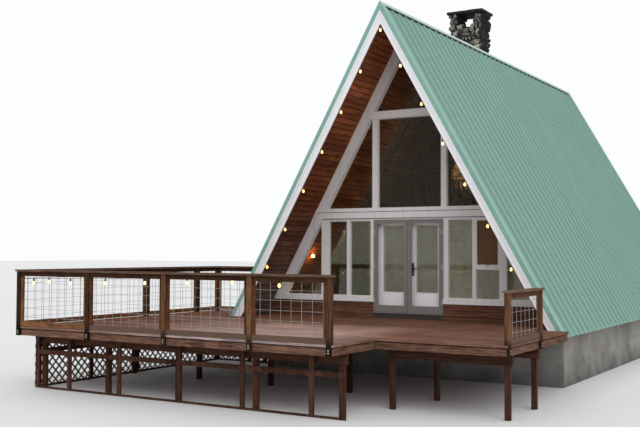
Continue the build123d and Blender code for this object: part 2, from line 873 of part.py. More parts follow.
def railing():
    save("rail_posts", *[post_solid(x, y, height, sides) for x, y, height, sides in post_places()])
    sides = {
        "front": (front_posts, front_line, True, rail_height),
        "left": ([front_line] + side_posts + [back_line], left_line, False, rail_height),
        "back": ([left_line, back_rail_end], back_line, True, rail_height),
        "right": ([wing_post_front, wing_post_back], right_line, False, low_rail_height),
    }
    frames = []
    front_grids = []
    side_grids = []
    for name, (places, line, along_x, height) in sides.items():
        for start, end in zip(places, places[1:]):
            frame, grid = framed_bay(start, end, line, along_x, height)
            frames.append(frame)
            if name == "front":
                front_grids.append(grid)
            else:
                side_grids.append(grid)
    save("rail_frames", *frames)
    save("front_rail_wire", *front_grids)
    save("side_rail_wire", *side_grids)
    top = (deck_top + rail_height - cap_board, deck_top + rail_height)
    half = cap_width / 2
    gap = edge_clearance
    front_cap_x = (left_line - half, front_posts[-1] + half)
    front_cap = block(front_cap_x, (front_line - half, front_line + half), top)
    left_cap_y = (front_line + half + gap, back_line - half - gap)
    left_cap = block((left_line - half, left_line + half), left_cap_y, top)
    cap_end = -roof_x(deck_top + rail_height - cap_board) - roof_clearance
    back_cap = block((left_line - half, cap_end), (back_line - half, back_line + half), top)
    low_top = (deck_top + low_rail_height - cap_board, deck_top + low_rail_height)
    right_y = (wing_post_front - half, wing_post_back + half)
    right_cap = block((right_line - half, right_line + half), right_y, low_top)
    save("rail_caps", front_cap, left_cap, back_cap, right_cap)


# Skirt of studs and lattice under the deck
skirt_y = deck_front + skirt_setback


def skirt_frames():
    top = joist_bottom
    plate = (0, skirt_board)
    mid = (skirt_rail_top - skirt_stud, skirt_rail_top)
    front_y = (skirt_y, skirt_y + skirt_board)
    front_x = (deck_left, deck_right)
    front = block(front_x, front_y, plate) + block(front_x, front_y, mid)
    for x in skirt_studs:
        front += block((x - skirt_stud / 2, x + skirt_stud / 2), front_y, (0, top))
    side_x = (deck_left, deck_left + skirt_board)
    side_y = (front_y[1] + edge_clearance, deck_back - skirt_board - edge_clearance)
    side = block(side_x, side_y, plate) + block(side_x, side_y, mid)
    count = round((side_y[1] - side_y[0]) / skirt_bay)
    run = side_y[1] - side_y[0] - skirt_stud
    for step in range(count + 1):
        y = side_y[0] + step * run / count
        side += block(side_x, (y, y + skirt_stud), (0, top))
    back_y = (deck_back - skirt_board, deck_back)
    back_x = (deck_left, -foundation_half_width - edge_clearance)
    back = block(back_x, back_y, plate) + block(back_x, back_y, mid)
    for x in (back_x[0], (back_x[0] + back_x[1]) / 2, -notch_outer - skirt_stud):
        back += block((x, x + skirt_stud), back_y, (0, top))
    save("skirt_frames", front, side, back)


def lattice(length, height):
    """Two layers of slanted laths, in a plane panel that starts at the origin along X and Z."""
    panel = Pos(length / 2, 0, height / 2) * Box(length, 4 * lath_thickness, height)
    reach = (length + height) / math.sqrt(2)
    layers = []
    for turn, layer in ((45, 0), (-45, 1)):
        count = int(reach / lath_pitch) + 1
        for step in range(-count, count + 1):
            shift = step * lath_pitch
            lath = Box(2 * reach, lath_thickness, lath_width)
            centre = Pos(length / 2, lath_thickness * (layer + 0.5), height / 2)
            placed = centre * Rot(0, turn, 0) * Pos(0, 0, shift) * lath
            piece = placed & panel
            if piece is None or piece.volume < 1:
                continue
            layers.append(piece)
    return layers[0].fuse(*layers[1:])


def lattices():
    low = skirt_board
    height = joist_bottom - low
    side_start = skirt_y
    side_length = deck_back - side_start
    side = Pos(deck_left, side_start, low) * Rot(0, 0, 90) * lattice(side_length, height)
    save("left_lattice", side)
    back_length = -foundation_half_width - edge_clearance - deck_left
    back = Pos(deck_left, deck_back, low) * lattice(back_length, height)
    save("back_lattice", back)


foundation()
floors()
roof()
ridge_cap()
edge_boards()
wall_base_and_header()
facade_trim()
windows()
door_frame()
doors()
chimney()
deck_boards()
save("deck_joists", *deck_rims(), *deck_joists())
deck_supports()
railing()
skirt_frames()
lattices()
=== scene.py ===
import json
import math
import random
import bpy
from mathutils import Matrix, Vector
from mathutils.noise import noise as noise_at

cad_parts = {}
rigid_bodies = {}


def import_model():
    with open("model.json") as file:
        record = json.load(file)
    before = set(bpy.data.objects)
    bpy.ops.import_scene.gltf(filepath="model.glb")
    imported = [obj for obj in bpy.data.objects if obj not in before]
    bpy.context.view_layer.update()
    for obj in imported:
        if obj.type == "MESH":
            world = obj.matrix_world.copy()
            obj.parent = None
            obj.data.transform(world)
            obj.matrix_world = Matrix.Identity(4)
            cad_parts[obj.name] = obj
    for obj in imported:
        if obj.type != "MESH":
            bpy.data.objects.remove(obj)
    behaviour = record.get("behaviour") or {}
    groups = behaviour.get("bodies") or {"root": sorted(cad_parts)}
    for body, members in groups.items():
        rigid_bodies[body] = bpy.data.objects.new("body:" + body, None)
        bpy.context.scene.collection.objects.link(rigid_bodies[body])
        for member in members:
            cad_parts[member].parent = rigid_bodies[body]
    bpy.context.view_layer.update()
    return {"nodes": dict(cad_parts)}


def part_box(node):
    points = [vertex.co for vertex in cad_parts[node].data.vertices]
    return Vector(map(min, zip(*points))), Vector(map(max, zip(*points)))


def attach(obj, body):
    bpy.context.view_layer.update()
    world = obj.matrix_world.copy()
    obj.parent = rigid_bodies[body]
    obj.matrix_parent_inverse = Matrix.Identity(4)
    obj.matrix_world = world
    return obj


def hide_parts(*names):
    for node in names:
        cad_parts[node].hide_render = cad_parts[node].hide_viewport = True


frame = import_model()
nodes = frame["nodes"]
bpy.ops.object.select_all(action="DESELECT")
random.seed(7)

# Camera
# It stands low, in front of the deck's right corner, at the photograph's viewing angle. The focal length
# is in pixels of a frame 640 pixels wide.
eye = (9.338, -19.107, 2.705)
turn_left = 31.256
tilt_up = 2.308
roll = -0.20
focal_pixels = 958.25
frame_pixels = 640
aim = (math.radians(90 + tilt_up), math.radians(roll), math.radians(turn_left))
bpy.ops.object.camera_add(location=eye, rotation=aim)
camera = bpy.context.object
camera.data.sensor_width = 36
camera.data.lens = focal_pixels / frame_pixels * camera.data.sensor_width
camera.data.clip_end = 500
bpy.context.scene.camera = camera
bpy.context.scene.view_settings.view_transform = "Standard"

# Studio air and lamp
# A pale even sky lights the building as an overcast day does, and one wide soft lamp from the right gives
# the slopes and the facade their different tones. A warm lamp in the loft is turned to the chimney.
air = bpy.data.worlds.new("studio_air")
air.use_nodes = True
bpy.context.scene.world = air
ways = air.node_tree.nodes.new("ShaderNodeLightPath")
backdrop = air.node_tree.nodes["Background"]
backdrop.inputs["Color"].default_value = (0.97, 0.98, 1.0, 1)
seen = ways.outputs["Is Camera Ray"]
for way in ("Is Glossy Ray", "Is Transmission Ray"):
    either = air.node_tree.nodes.new("ShaderNodeMath")
    either.operation = "MAXIMUM"
    air.node_tree.links.new(seen, either.inputs[0])
    air.node_tree.links.new(ways.outputs[way], either.inputs[1])
    seen = either.outputs[0]
level = air.node_tree.nodes.new("ShaderNodeMapRange")
level.inputs["To Min"].default_value = 0.72
level.inputs["To Max"].default_value = 1.0
air.node_tree.links.new(seen, level.inputs["Value"])
air.node_tree.links.new(level.outputs["Result"], backdrop.inputs["Strength"])
bpy.ops.object.light_add(type="SUN", rotation=(math.radians(48), math.radians(16), math.radians(28)))
lamp = bpy.context.object
lamp.data.energy = 1.1
lamp.data.angle = math.radians(50)
spot_turn = (math.radians(90), 0, math.radians(-22))
bpy.ops.object.light_add(type="SPOT", location=(-0.85, 3.75, 4.8), rotation=spot_turn)
loft_light = bpy.context.object
loft_light.data.energy = 45
loft_light.data.color = (1.0, 0.68, 0.42)
loft_light.data.spot_size = math.radians(60)
loft_light.data.spot_blend = 0.6

# Floor
# A plain pale sheet at the lowest ground level, with a matt paint. It carries the building's shadow and isn't
# part of it.
bpy.ops.mesh.primitive_plane_add(size=400, location=(0, 0, -0.002))
floor = bpy.context.object
floor.name = "studio_floor"
floor_paint = bpy.data.materials.new("pale_floor")
floor_paint.use_nodes = True
floor_paint.node_tree.nodes["Principled BSDF"].inputs["Base Color"].default_value = (0.86, 0.86, 0.86, 1)
floor_paint.node_tree.nodes["Principled BSDF"].inputs["Roughness"].default_value = 0.9
floor.data.materials.append(floor_paint)


# Foundation walls
# Cast concrete, poured between boards 0.2 m high. Faint lines show where the boards met, with blotches
# where the rain runs and a darker foot.
def new_material(name, roughness):
    """A material, its node tree, its shader and a socket with the Object coordinates."""
    material = bpy.data.materials.new(name)
    material.use_nodes = True
    tree = material.node_tree
    shader = tree.nodes["Principled BSDF"]
    shader.inputs["Roughness"].default_value = roughness
    return material, tree, shader, tree.nodes.new("ShaderNodeTexCoord").outputs["Object"]


def stretch(tree, place, scale, turn=(0, 0, 0)):
    """The coordinates turned and stretched, for a pattern with a direction."""
    mapping = tree.nodes.new("ShaderNodeMapping")
    mapping.inputs["Scale"].default_value = scale
    mapping.inputs["Rotation"].default_value = turn
    tree.links.new(place, mapping.inputs["Vector"])
    return mapping.outputs["Vector"]


def noise(tree, place, scale, detail=4, rough=0.55, bend=0):
    """A cloudy pattern from 0 to 1."""
    texture = tree.nodes.new("ShaderNodeTexNoise")
    texture.inputs["Scale"].default_value = scale
    texture.inputs["Detail"].default_value = detail
    texture.inputs["Roughness"].default_value = rough
    texture.inputs["Distortion"].default_value = bend
    tree.links.new(place, texture.inputs["Vector"])
    return texture.outputs["Fac"]


def ramp(tree, factor, *stops):
    """Colours or grays along a factor, each stop a position and a colour or a gray."""
    band = tree.nodes.new("ShaderNodeValToRGB")
    while len(band.color_ramp.elements) < len(stops):
        band.color_ramp.elements.new(0.5)
    for element, (position, tone) in zip(band.color_ramp.elements, stops):
        element.position = position
        element.color = (tone, tone, tone, 1) if isinstance(tone, (int, float)) else (*tone, 1)
    tree.links.new(factor, band.inputs["Fac"])
    return band.outputs["Color"]


def mix(tree, factor, first, second, blend="MIX"):
    """Two colours mixed. Each may be a socket or a plain colour, and the factor a socket or a number."""
    node = tree.nodes.new("ShaderNodeMix")
    node.data_type = "RGBA"
    node.blend_type = blend
    for socket, value in ((node.inputs[0], factor), (node.inputs[6], first), (node.inputs[7], second)):
        if isinstance(value, bpy.types.NodeSocket):
            tree.links.new(value, socket)
        elif isinstance(value, tuple):
            socket.default_value = (*value, 1)
        else:
            socket.default_value = value
    return node.outputs[2]


def shaded(tree, tone, shade, share=1.0):
    """A tone multiplied by another."""
    return mix(tree, share, tone, shade, "MULTIPLY")


def calculate(tree, operation, *values):
    """One step of arithmetic on sockets or numbers."""
    node = tree.nodes.new("ShaderNodeMath")
    node.operation = operation
    for socket, value in zip(node.inputs, values):
        if isinstance(value, bpy.types.NodeSocket):
            tree.links.new(value, socket)
        else:
            socket.default_value = value
    return node.outputs[0]


def scaled(values, factor):
    """A colour or a set of scales, each number times a factor."""
    return tuple(factor * value for value in values)


def axes(tree, place):
    """The three coordinates apart."""
    split = tree.nodes.new("ShaderNodeSeparateXYZ")
    tree.links.new(place, split.inputs["Vector"])
    return split.outputs["X"], split.outputs["Y"], split.outputs["Z"]


def relief(tree, shader, height, distance, strength=1.0):
    """Fine relief from a pattern's height, in metres."""
    bump = tree.nodes.new("ShaderNodeBump")
    bump.inputs["Distance"].default_value = distance
    bump.inputs["Strength"].default_value = strength
    tree.links.new(height, bump.inputs["Height"])
    tree.links.new(bump.outputs["Normal"], shader.inputs["Normal"])


def mottled(name, roughness, pattern, stops, depth, metallic=0.0, strength=1.0):
    """A finish whose tone and relief follow one cloudy pattern, given as its scale, detail and roughness."""
    material, tree, shader, place = new_material(name, roughness)
    shader.inputs["Metallic"].default_value = metallic
    cloud = noise(tree, place, *pattern)
    tree.links.new(ramp(tree, cloud, *stops), shader.inputs["Base Color"])
    relief(tree, shader, cloud, depth, strength)
    return material


def cover(piece, material):
    """Gives a piece that the scene adds one finish."""
    piece.data.materials.clear()
    piece.data.materials.append(material)


def finish_with(material, *names):
    """Gives a finish to the frame's own pieces."""
    for name in names:
        for slot in nodes[name].material_slots:
            slot.material = material
        if not nodes[name].material_slots:
            nodes[name].data.materials.append(material)


pour_board = 0.2
concrete, tree, shader, place = new_material("cast_concrete", 0.9)
height = axes(tree, place)[2]
blotch = noise(tree, place, 1.3, 6, 0.6)
grit = noise(tree, place, 60, 3, 0.7)
tone = ramp(tree, blotch, (0.3, (0.20, 0.19, 0.175)), (0.55, (0.34, 0.33, 0.31)), (0.8, (0.42, 0.41, 0.385)))
board_line = calculate(tree, "FRACT", calculate(tree, "DIVIDE", height, pour_board))
seam = ramp(tree, board_line, (0.0, 0.62), (0.04, 1.0), (0.97, 1.0), (1.0, 0.62))
tone = shaded(tree, tone, seam, 0.6)
wet_height = calculate(tree, "ADD", height, calculate(tree, "MULTIPLY", blotch, 0.5))
damp = ramp(tree, wet_height, (0.2, 0.45), (0.7, 1.0))
tone = shaded(tree, tone, damp)
tone = shaded(tree, tone, ramp(tree, grit, (0.3, 0.3), (0.7, 1.0)), 0.25)
tree.links.new(tone, shader.inputs["Base Color"])
relief(tree, shader, mix(tree, 0.5, seam, grit), 0.006)
finish_with(concrete, "foundation_walls")


# Deck frame
# Joists, rims, beams, posts and the skirt's studs are rough fir, stained red brown and darkened by the
# weather. The grain runs with each member's length. A painted shade darkens the top of the joists and rims,
# just under the deck boards.
def wood(
    name,
    dark,
    light,
    stretches,
    roughness=0.8,
    cell=None,
    relief_depth=0.0015,
    knots=0.35,
    spread=0.55,
    turned=None,
):
    """Stained wood. The stretches are the grain's scales in X, Y and Z, small along the fibres.

    Where the grain turns, as from a frame's stiles to its rails, turned gives the other stretches and the
    function that picks them.
    """
    material, tree, shader, place = new_material(name, roughness)
    shader.inputs["Specular IOR Level"].default_value = 0.1
    grain_place = stretch(tree, place, stretches)
    if turned is not None:
        other, pick = turned
        choice = tree.nodes.new("ShaderNodeMix")
        choice.data_type = "VECTOR"
        tree.links.new(pick(tree, place), choice.inputs[0])
        tree.links.new(grain_place, choice.inputs[4])
        tree.links.new(stretch(tree, place, other), choice.inputs[5])
        grain_place = choice.outputs[1]
    fibre = noise(tree, grain_place, 1.0, 8, 0.62, 0.6)
    streak = noise(tree, stretch(tree, place, scaled(stretches, 0.2)), 1.0, 3, 0.5, 1.2)
    wide = noise(tree, place, 0.9, 3, 0.5)
    if cell is None:
        piece = tree.nodes.new("ShaderNodeNewGeometry").outputs["Random Per Island"]
    else:
        snap = tree.nodes.new("ShaderNodeVectorMath")
        snap.operation = "SNAP"
        snap.inputs[1].default_value = cell
        tree.links.new(place, snap.inputs[0])
        chance = tree.nodes.new("ShaderNodeTexWhiteNoise")
        chance.noise_dimensions = "3D"
        tree.links.new(snap.outputs["Vector"], chance.inputs["Vector"])
        piece = chance.outputs["Value"]
    tone = ramp(tree, fibre, (0.32, dark), (0.68, light))
    middle = tuple((first + second) / 2 for first, second in zip(dark, light))
    knotty = ramp(tree, streak, (0.35, 0.0), (0.75, knots))
    tone = mix(tree, knotty, tone, scaled(middle, 0.45))
    tone = shaded(tree, tone, ramp(tree, piece, (0.0, 0.55), (1.0, 1.35)), spread)
    tone = shaded(tree, tone, ramp(tree, wide, (0.3, 0.6), (0.7, 1.3)), 0.35)
    tree.links.new(tone, shader.inputs["Base Color"])
    relief(tree, shader, fibre, relief_depth)
    return material, tree, shader, place, tone


def looks_along(axis):
    """Picks the faces that look along an axis, either way."""
    def pick(tree, place):
        normal = tree.nodes.new("ShaderNodeNewGeometry").outputs["Normal"]
        return calculate(tree, "GREATER_THAN", calculate(tree, "ABSOLUTE", axes(tree, normal)[axis]), 0.7)
    return pick


timber_dark = (0.04, 0.02, 0.013)
timber_light = (0.27, 0.14, 0.095)
grain_across = (2.5, 40, 40)
grain_inward = (40, 2.5, 40)
grain_up = (40, 40, 2.5)
joist_wood, tree, shader, place, tone = wood(
    "joist_wood",
    timber_dark,
    timber_light,
    grain_inward,
    cell=(0.3, 30, 30),
    turned=(grain_across, looks_along(1)),
)
# Painted shade: the top few centimetres of the joists and rims, under the deck boards, are darkened.
below_boards = calculate(tree, "SUBTRACT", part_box("deck_joists")[1][2], axes(tree, place)[2])
shade = ramp(tree, below_boards, (0.012, 0.2), (0.03, 1.0))
tree.links.new(shaded(tree, tone, shade), shader.inputs["Base Color"])
finish_with(joist_wood, "deck_joists")
skirt_dark = (0.022, 0.010, 0.006)
skirt_light = (0.13, 0.055, 0.035)
beam_wood = wood("beam_wood", skirt_dark, skirt_light, grain_across, cell=(4, 0.4, 30))[0]
finish_with(beam_wood, "deck_beams")
upright_wood = wood("upright_wood", skirt_dark, skirt_light, grain_up, cell=(0.3, 0.3, 30))[0]
finish_with(upright_wood, "deck_posts", "skirt_frames")

# Lattice
# Thin cedar laths in two slanted layers close the deck's left side and back. They were never stained and have
# gone silver brown.
lath_dark = (0.10, 0.08, 0.06)
lath_light = (0.34, 0.28, 0.21)
lath_wood = wood("lath_wood", lath_dark, lath_light, (24, 24, 24), cell=(0.09, 0.09, 0.09))[0]
finish_with(lath_wood, "left_lattice", "back_lattice")


# Deck boards
# Fir boards laid side by side along the front, with a finger's gap for the rain, butted over the joists.
# Their outline follows the deck, its notches and the railing posts. The top is wet in places. Painted light
# makes the front edge pale and bluish, painted shade darkens the boards further in, and a painted sky
# reflection pales a patch in the middle. The left end is darker and browner.
def ease_edges(offset, segments=1):
    """Bevels every edge of the active piece."""
    bpy.ops.object.mode_set(mode="EDIT")
    bpy.ops.mesh.select_all(action="SELECT")
    bpy.ops.mesh.bevel(offset=offset, segments=segments, affect="EDGES")
    bpy.ops.object.mode_set(mode="OBJECT")


def start_block(name, low, high, corner=0.0):
    """A block between two corners, with its edges rounded, whose place is in its mesh."""
    centre = [(first + second) / 2 for first, second in zip(low, high)]
    bpy.ops.mesh.primitive_cube_add(size=1, location=centre)
    piece = bpy.context.object
    piece.name = name
    piece.scale = [second - first for first, second in zip(low, high)]
    bpy.ops.object.transform_apply(location=True, rotation=True, scale=True)
    if corner:
        ease_edges(corner)
    return piece


def laid_copy(master, place):
    """A copy with its own mesh, moved to its place."""
    piece = master.copy()
    piece.data = master.data.copy()
    bpy.context.collection.objects.link(piece)
    piece.data.transform(place)
    return piece


def joined(name, pieces, *spent):
    """The pieces made one object. The masters that they were copied from are removed."""
    for master in spent:
        bpy.data.objects.remove(master)
    bpy.ops.object.select_all(action="DESELECT")
    for piece in pieces:
        piece.select_set(True)
    bpy.context.view_layer.objects.active = pieces[0]
    if len(pieces) > 1:
        bpy.ops.object.join()
    whole = bpy.context.object
    whole.name = name
    whole.data.name = name
    bpy.ops.object.select_all(action="DESELECT")
    return whole


def make_active(piece):
    """Selects one piece alone."""
    bpy.ops.object.select_all(action="DESELECT")
    piece.select_set(True)
    bpy.context.view_layer.objects.active = piece


def deselect_all():
    """Clears the selection of the active piece's vertices, edges and faces."""
    bpy.ops.object.mode_set(mode="EDIT")
    bpy.ops.mesh.select_all(action="DESELECT")
    bpy.ops.object.mode_set(mode="OBJECT")


def merged_copy(name, copy_name):
    """A copy of one of the frame's pieces as one closed mesh, with flat faces made whole."""
    piece = nodes[name].copy()
    piece.data = nodes[name].data.copy()
    piece.name = copy_name
    piece.parent = None
    piece.matrix_world = Matrix.Identity(4)
    bpy.context.collection.objects.link(piece)
    piece.hide_viewport = False
    piece.hide_render = False
    piece.hide_set(False)
    make_active(piece)
    bpy.ops.object.mode_set(mode="EDIT")
    bpy.ops.mesh.select_all(action="SELECT")
    bpy.ops.mesh.remove_doubles(threshold=0.0002)
    bpy.ops.mesh.dissolve_limited(angle_limit=math.radians(1))
    bpy.ops.object.mode_set(mode="OBJECT")
    return piece


def combine(piece, tool, operation):
    """Cuts a piece with another, or keeps what they share, and removes the tool."""
    modifier = piece.modifiers.new("cut", "BOOLEAN")
    modifier.operation = operation
    modifier.solver = "EXACT"
    modifier.object = tool
    make_active(piece)
    bpy.ops.object.modifier_apply(modifier=modifier.name)
    bpy.data.objects.remove(tool)


deck_low, deck_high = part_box("deck_boards")
deck_board_width = 0.140
deck_board_gap = 0.006
board_ease = 0.004
board_run = 3.66
half_run = board_run / 2
board = start_block(
    "deck_board",
    (-half_run, 0, deck_low[2]),
    (half_run, deck_board_width, deck_high[2]),
    board_ease,
)
laid = []
row_pitch = deck_board_width + deck_board_gap
butt_gap = 0.003
first_cuts = (0.0, 0.61, 1.22, 1.83, 2.44)
rows = math.ceil((deck_high[1] - deck_low[1]) / row_pitch)
for row in range(rows):
    across = deck_low[1] + row * row_pitch
    along = deck_low[0] - random.choice(first_cuts)
    while along < deck_high[0]:
        laid.append(laid_copy(board, Matrix.Translation((along + half_run, across, 0))))
        along += board_run + butt_gap
deck_floor = joined("deck_floor_boards", laid, board)
combine(deck_floor, merged_copy("deck_boards", "deck_outline"), "INTERSECT")
deck_wood, tree, shader, place, tone = wood(
    "deck_wood", (0.11, 0.050, 0.031), (0.37, 0.195, 0.128), (3, 60, 60), relief_depth=0.002, knots=0.5
)
puddle = noise(tree, place, 1.1, 4, 0.5)
tone = mix(tree, ramp(tree, puddle, (0.42, 0.0), (0.62, 0.5)), tone, (0.10, 0.045, 0.028))
inward = calculate(tree, "SUBTRACT", axes(tree, place)[1], deck_low[1])
# Painted light and shade: the front edge is pale and bluish, the front boards a little lighter, and the
# boards further in darker.
painted_light = ramp(
    tree,
    calculate(tree, "DIVIDE", inward, deck_high[1] - deck_low[1]),
    (0.001, (1.6, 2.3, 3.1)),
    (0.003, (1.5, 1.7, 1.85)),
    (0.04, (1.15, 1.15, 1.15)),
    (0.3, (0.82, 0.74, 0.68)),
)
tone = shaded(tree, tone, painted_light)
from_left = calculate(tree, "SUBTRACT", axes(tree, place)[0], deck_low[0])
from_left = calculate(tree, "DIVIDE", from_left, deck_high[0] - deck_low[0])
# The left end of the deck is made darker and browner.
darker_left_end = ramp(tree, from_left, (0.15, (0.82, 0.60, 0.42)), (0.3, (1.0, 1.0, 1.0)))
tone = shaded(tree, tone, darker_left_end)
# Painted sky reflection: a patch in the middle of the deck is made much paler and bluish.
glint_across = ramp(tree, from_left, (0.18, 0.0), (0.34, 0.45), (0.46, 1.0), (0.66, 1.0), (0.76, 0.1))
inward_share = calculate(tree, "DIVIDE", inward, 6.0)
glint_inward = ramp(tree, inward_share, (0.03, 0.1), (0.1, 1.0), (0.5, 1.0), (0.68, 0.0))
painted_sky_glint = calculate(tree, "MULTIPLY", glint_across, glint_inward)
tone = mix(tree, painted_sky_glint, tone, shaded(tree, tone, (2.4, 3.3, 4.5)))
tree.links.new(tone, shader.inputs["Base Color"])
tree.links.new(ramp(tree, puddle, (0.42, 0.85), (0.62, 0.5)), shader.inputs["Roughness"])
cover(deck_floor, deck_wood)
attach(deck_floor, "cabin")
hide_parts("deck_boards")

# Railing
# Square posts are notched over the rim, with framed panels of welded galvanised wire between them and a flat
# cap board on top, all stained red brown. Damp has turned the left posts and all their feet nearly black.
rail_dark = (0.035, 0.015, 0.007)
rail_light = (0.26, 0.13, 0.064)
deck_level = deck_high[2]
rail_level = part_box("rail_caps")[1][2]
post_wood, tree, shader, place, tone = wood("post_wood", rail_dark, rail_light, grain_up, cell=(0.5, 0.5, 30))
x, y, z = axes(tree, place)
damp = ramp(tree, calculate(tree, "SUBTRACT", z, deck_level - 0.1), (0.08, 0.2), (0.22, 1.0))
tone = shaded(tree, tone, damp)
along = calculate(tree, "DIVIDE", calculate(tree, "SUBTRACT", x, deck_low[0]), deck_high[0] - deck_low[0])
kept_stops = ((0.25, 0.28), (0.38, 0.75), (0.42, 0.9), (0.56, 1.6), (0.62, 1.6), (0.72, 0.5), (0.9, 1.0))
kept = ramp(tree, along, *kept_stops)
tone = shaded(tree, tone, kept)
tree.links.new(tone, shader.inputs["Base Color"])
finish_with(post_wood, "rail_posts")
first_bay = 1.9
front_cap_depth = 0.12
stile_low = deck_level + 0.099
stile_high = rail_level - 0.127


def in_stiles(tree, place):
    """Picks the heights between the frames' bottom and top rails."""
    return calculate(
        tree, "COMPARE", axes(tree, place)[2], (stile_low + stile_high) / 2, (stile_high - stile_low) / 2
    )


frame_wood, tree, shader, place, tone = wood(
    "rail_frame_wood",
    rail_dark,
    rail_light,
    (2.5, 2.5, 40),
    cell=(1.84, 1.84, 0.6),
    turned=(grain_up, in_stiles),
)
x, y, z = axes(tree, place)
worn = noise(tree, stretch(tree, place, (5, 5, 5)), 1.0, 6, 0.7)
tone = mix(tree, ramp(tree, worn, (0.42, 0.0), (0.66, 0.5)), tone, (0.36, 0.12, 0.035))
low_rail = calculate(tree, "LESS_THAN", z, stile_low)
inner_bays = calculate(tree, "GREATER_THAN", x, deck_low[0] + first_bay)
faded = calculate(tree, "MULTIPLY", calculate(tree, "MULTIPLY", low_rail, inner_bays), 0.8)
tone = mix(tree, faded, tone, (0.115, 0.081, 0.066))
dark_stiles = calculate(tree, "MULTIPLY", in_stiles(tree, place), inner_bays)
tone = mix(tree, dark_stiles, tone, shaded(tree, tone, (0.55, 0.5, 0.5)))
# Painted shade: the top of the frames, just under the cap board, is darkened.
high = ramp(tree, calculate(tree, "SUBTRACT", z, deck_level), (0.90, 1.0), (0.99, 0.3))
tree.links.new(shaded(tree, tone, high), shader.inputs["Base Color"])
finish_with(frame_wood, "rail_frames")


def in_front(tree, place):
    """Picks the front cap board, whose grain runs across."""
    return calculate(tree, "LESS_THAN", axes(tree, place)[1], deck_low[1] + front_cap_depth)


cap_wood = wood(
    "cap_wood",
    (0.06, 0.032, 0.022),
    (0.24, 0.145, 0.10),
    grain_inward,
    cell=(2.4, 9, 9),
    turned=(grain_across, in_front),
)[0]
finish_with(cap_wood, "rail_caps")
spangle = ((0.3, (0.22, 0.21, 0.19)), (0.7, (0.48, 0.47, 0.44)))
zinc = mottled("galvanised_wire", 0.45, (35, 3, 0.6), spangle, 0.0004, metallic=0.6)
finish_with(zinc, "front_rail_wire", "side_rail_wire")

# Carriage bolts
# Two domed zinc heads hold each railing post to the rim, one over the other. Each head is a low dome on a
# thin round washer.
bolt_radius = 0.010
washer_radius = 0.015
rim_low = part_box("deck_joists")
bolt_heights = (rim_low[0][2] + 0.05, rim_low[1][2] - 0.05)
bpy.ops.mesh.primitive_cylinder_add(vertices=16, radius=washer_radius, depth=0.003, location=(0, 0, 0.0015))
washer = bpy.context.object
bpy.ops.object.transform_apply(location=True)
ease_edges(0.0008)
bpy.ops.mesh.primitive_uv_sphere_add(segments=16, ring_count=10, radius=bolt_radius, location=(0, 0, 0.003))
dome = bpy.context.object
dome.scale = (1, 1, 0.5)
bpy.ops.object.transform_apply(location=True, scale=True)
bpy.ops.object.mode_set(mode="EDIT")
bpy.ops.mesh.select_all(action="SELECT")
bpy.ops.mesh.bisect(plane_co=(0, 0, 0.002), plane_no=(0, 0, 1), use_fill=True, clear_inner=True)
bpy.ops.object.mode_set(mode="OBJECT")
bpy.ops.object.shade_smooth()
bolt = joined("bolt", [washer, dome])
merged_copy("rail_posts", "post_places")
bpy.ops.object.mode_set(mode="EDIT")
bpy.ops.mesh.select_all(action="SELECT")
bpy.ops.mesh.separate(type="LOOSE")
bpy.ops.object.mode_set(mode="OBJECT")
post_boxes = []
for piece in [piece for piece in bpy.data.objects if piece.name.startswith("post_places")]:
    corners = [vertex.co for vertex in piece.data.vertices]
    low = Vector([min(corner[axis] for corner in corners) for axis in range(3)])
    high = Vector([max(corner[axis] for corner in corners) for axis in range(3)])
    post_boxes.append((low, high))
    bpy.data.objects.remove(piece)
whole_low, whole_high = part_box("rail_posts")
bolts = []
for low, high in post_boxes:
    middle = (low + high) / 2
    faces = []
    if low[1] < whole_low[1] + 0.01:
        faces.append((Vector((middle[0], low[1], 0)), Matrix.Rotation(math.radians(90), 4, "X")))
    if low[0] < whole_low[0] + 0.01:
        faces.append((Vector((low[0], middle[1], 0)), Matrix.Rotation(math.radians(-90), 4, "Y")))
    if high[0] > whole_high[0] - 0.01:
        faces.append((Vector((high[0], middle[1], 0)), Matrix.Rotation(math.radians(90), 4, "Y")))
    if high[1] > whole_high[1] - 0.01:
        faces.append((Vector((middle[0], high[1], 0)), Matrix.Rotation(math.radians(-90), 4, "X")))
    for spot, turn in faces:
        for bolt_height in bolt_heights:
            spot[2] = bolt_height
            bolts.append(laid_copy(bolt, Matrix.Translation(spot) @ turn))
bolt_heads = joined("carriage_bolts", bolts, bolt)
rust = ((0.35, (0.46, 0.45, 0.43)), (0.62, (0.34, 0.32, 0.30)), (0.75, (0.22, 0.12, 0.07)))
bolt_zinc = mottled("bolt_zinc", 0.35, (60, 4, 0.6), rust, 0.0004, metallic=0.8)
cover(bolt_heads, bolt_zinc)
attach(bolt_heads, "cabin")

# Roof boards
# Tongue and groove boards run from gable to gable, stained dark red brown. Every joint shows as a small V.
# They are the soffit outside and the ceiling inside, and the left slope leaves room for the chimney. Painted
# light and shade change their tone up the slope, and painted light makes the ceiling pale near the front
# wall.
def grooved_board(name, low, high, along, faces_out):
    """A board whose long edges are eased where faces_out says so of their ends."""
    piece = start_block(name, low, high)
    deselect_all()
    for edge in piece.data.edges:
        first, last = [piece.data.vertices[index].co for index in edge.vertices]
        edge.select = abs(first[along] - last[along]) > 1 and faces_out(first)
    bpy.ops.object.mode_set(mode="EDIT")
    bpy.ops.mesh.bevel(offset=groove, segments=1, affect="EDGES")
    bpy.ops.object.mode_set(mode="OBJECT")
    return piece


def turn_faces_out(piece):
    """Recalculates a piece's normals, after a mirror."""
    make_active(piece)
    bpy.ops.object.mode_set(mode="EDIT")
    bpy.ops.mesh.select_all(action="SELECT")
    bpy.ops.mesh.normals_make_consistent(inside=False)
    bpy.ops.object.mode_set(mode="OBJECT")


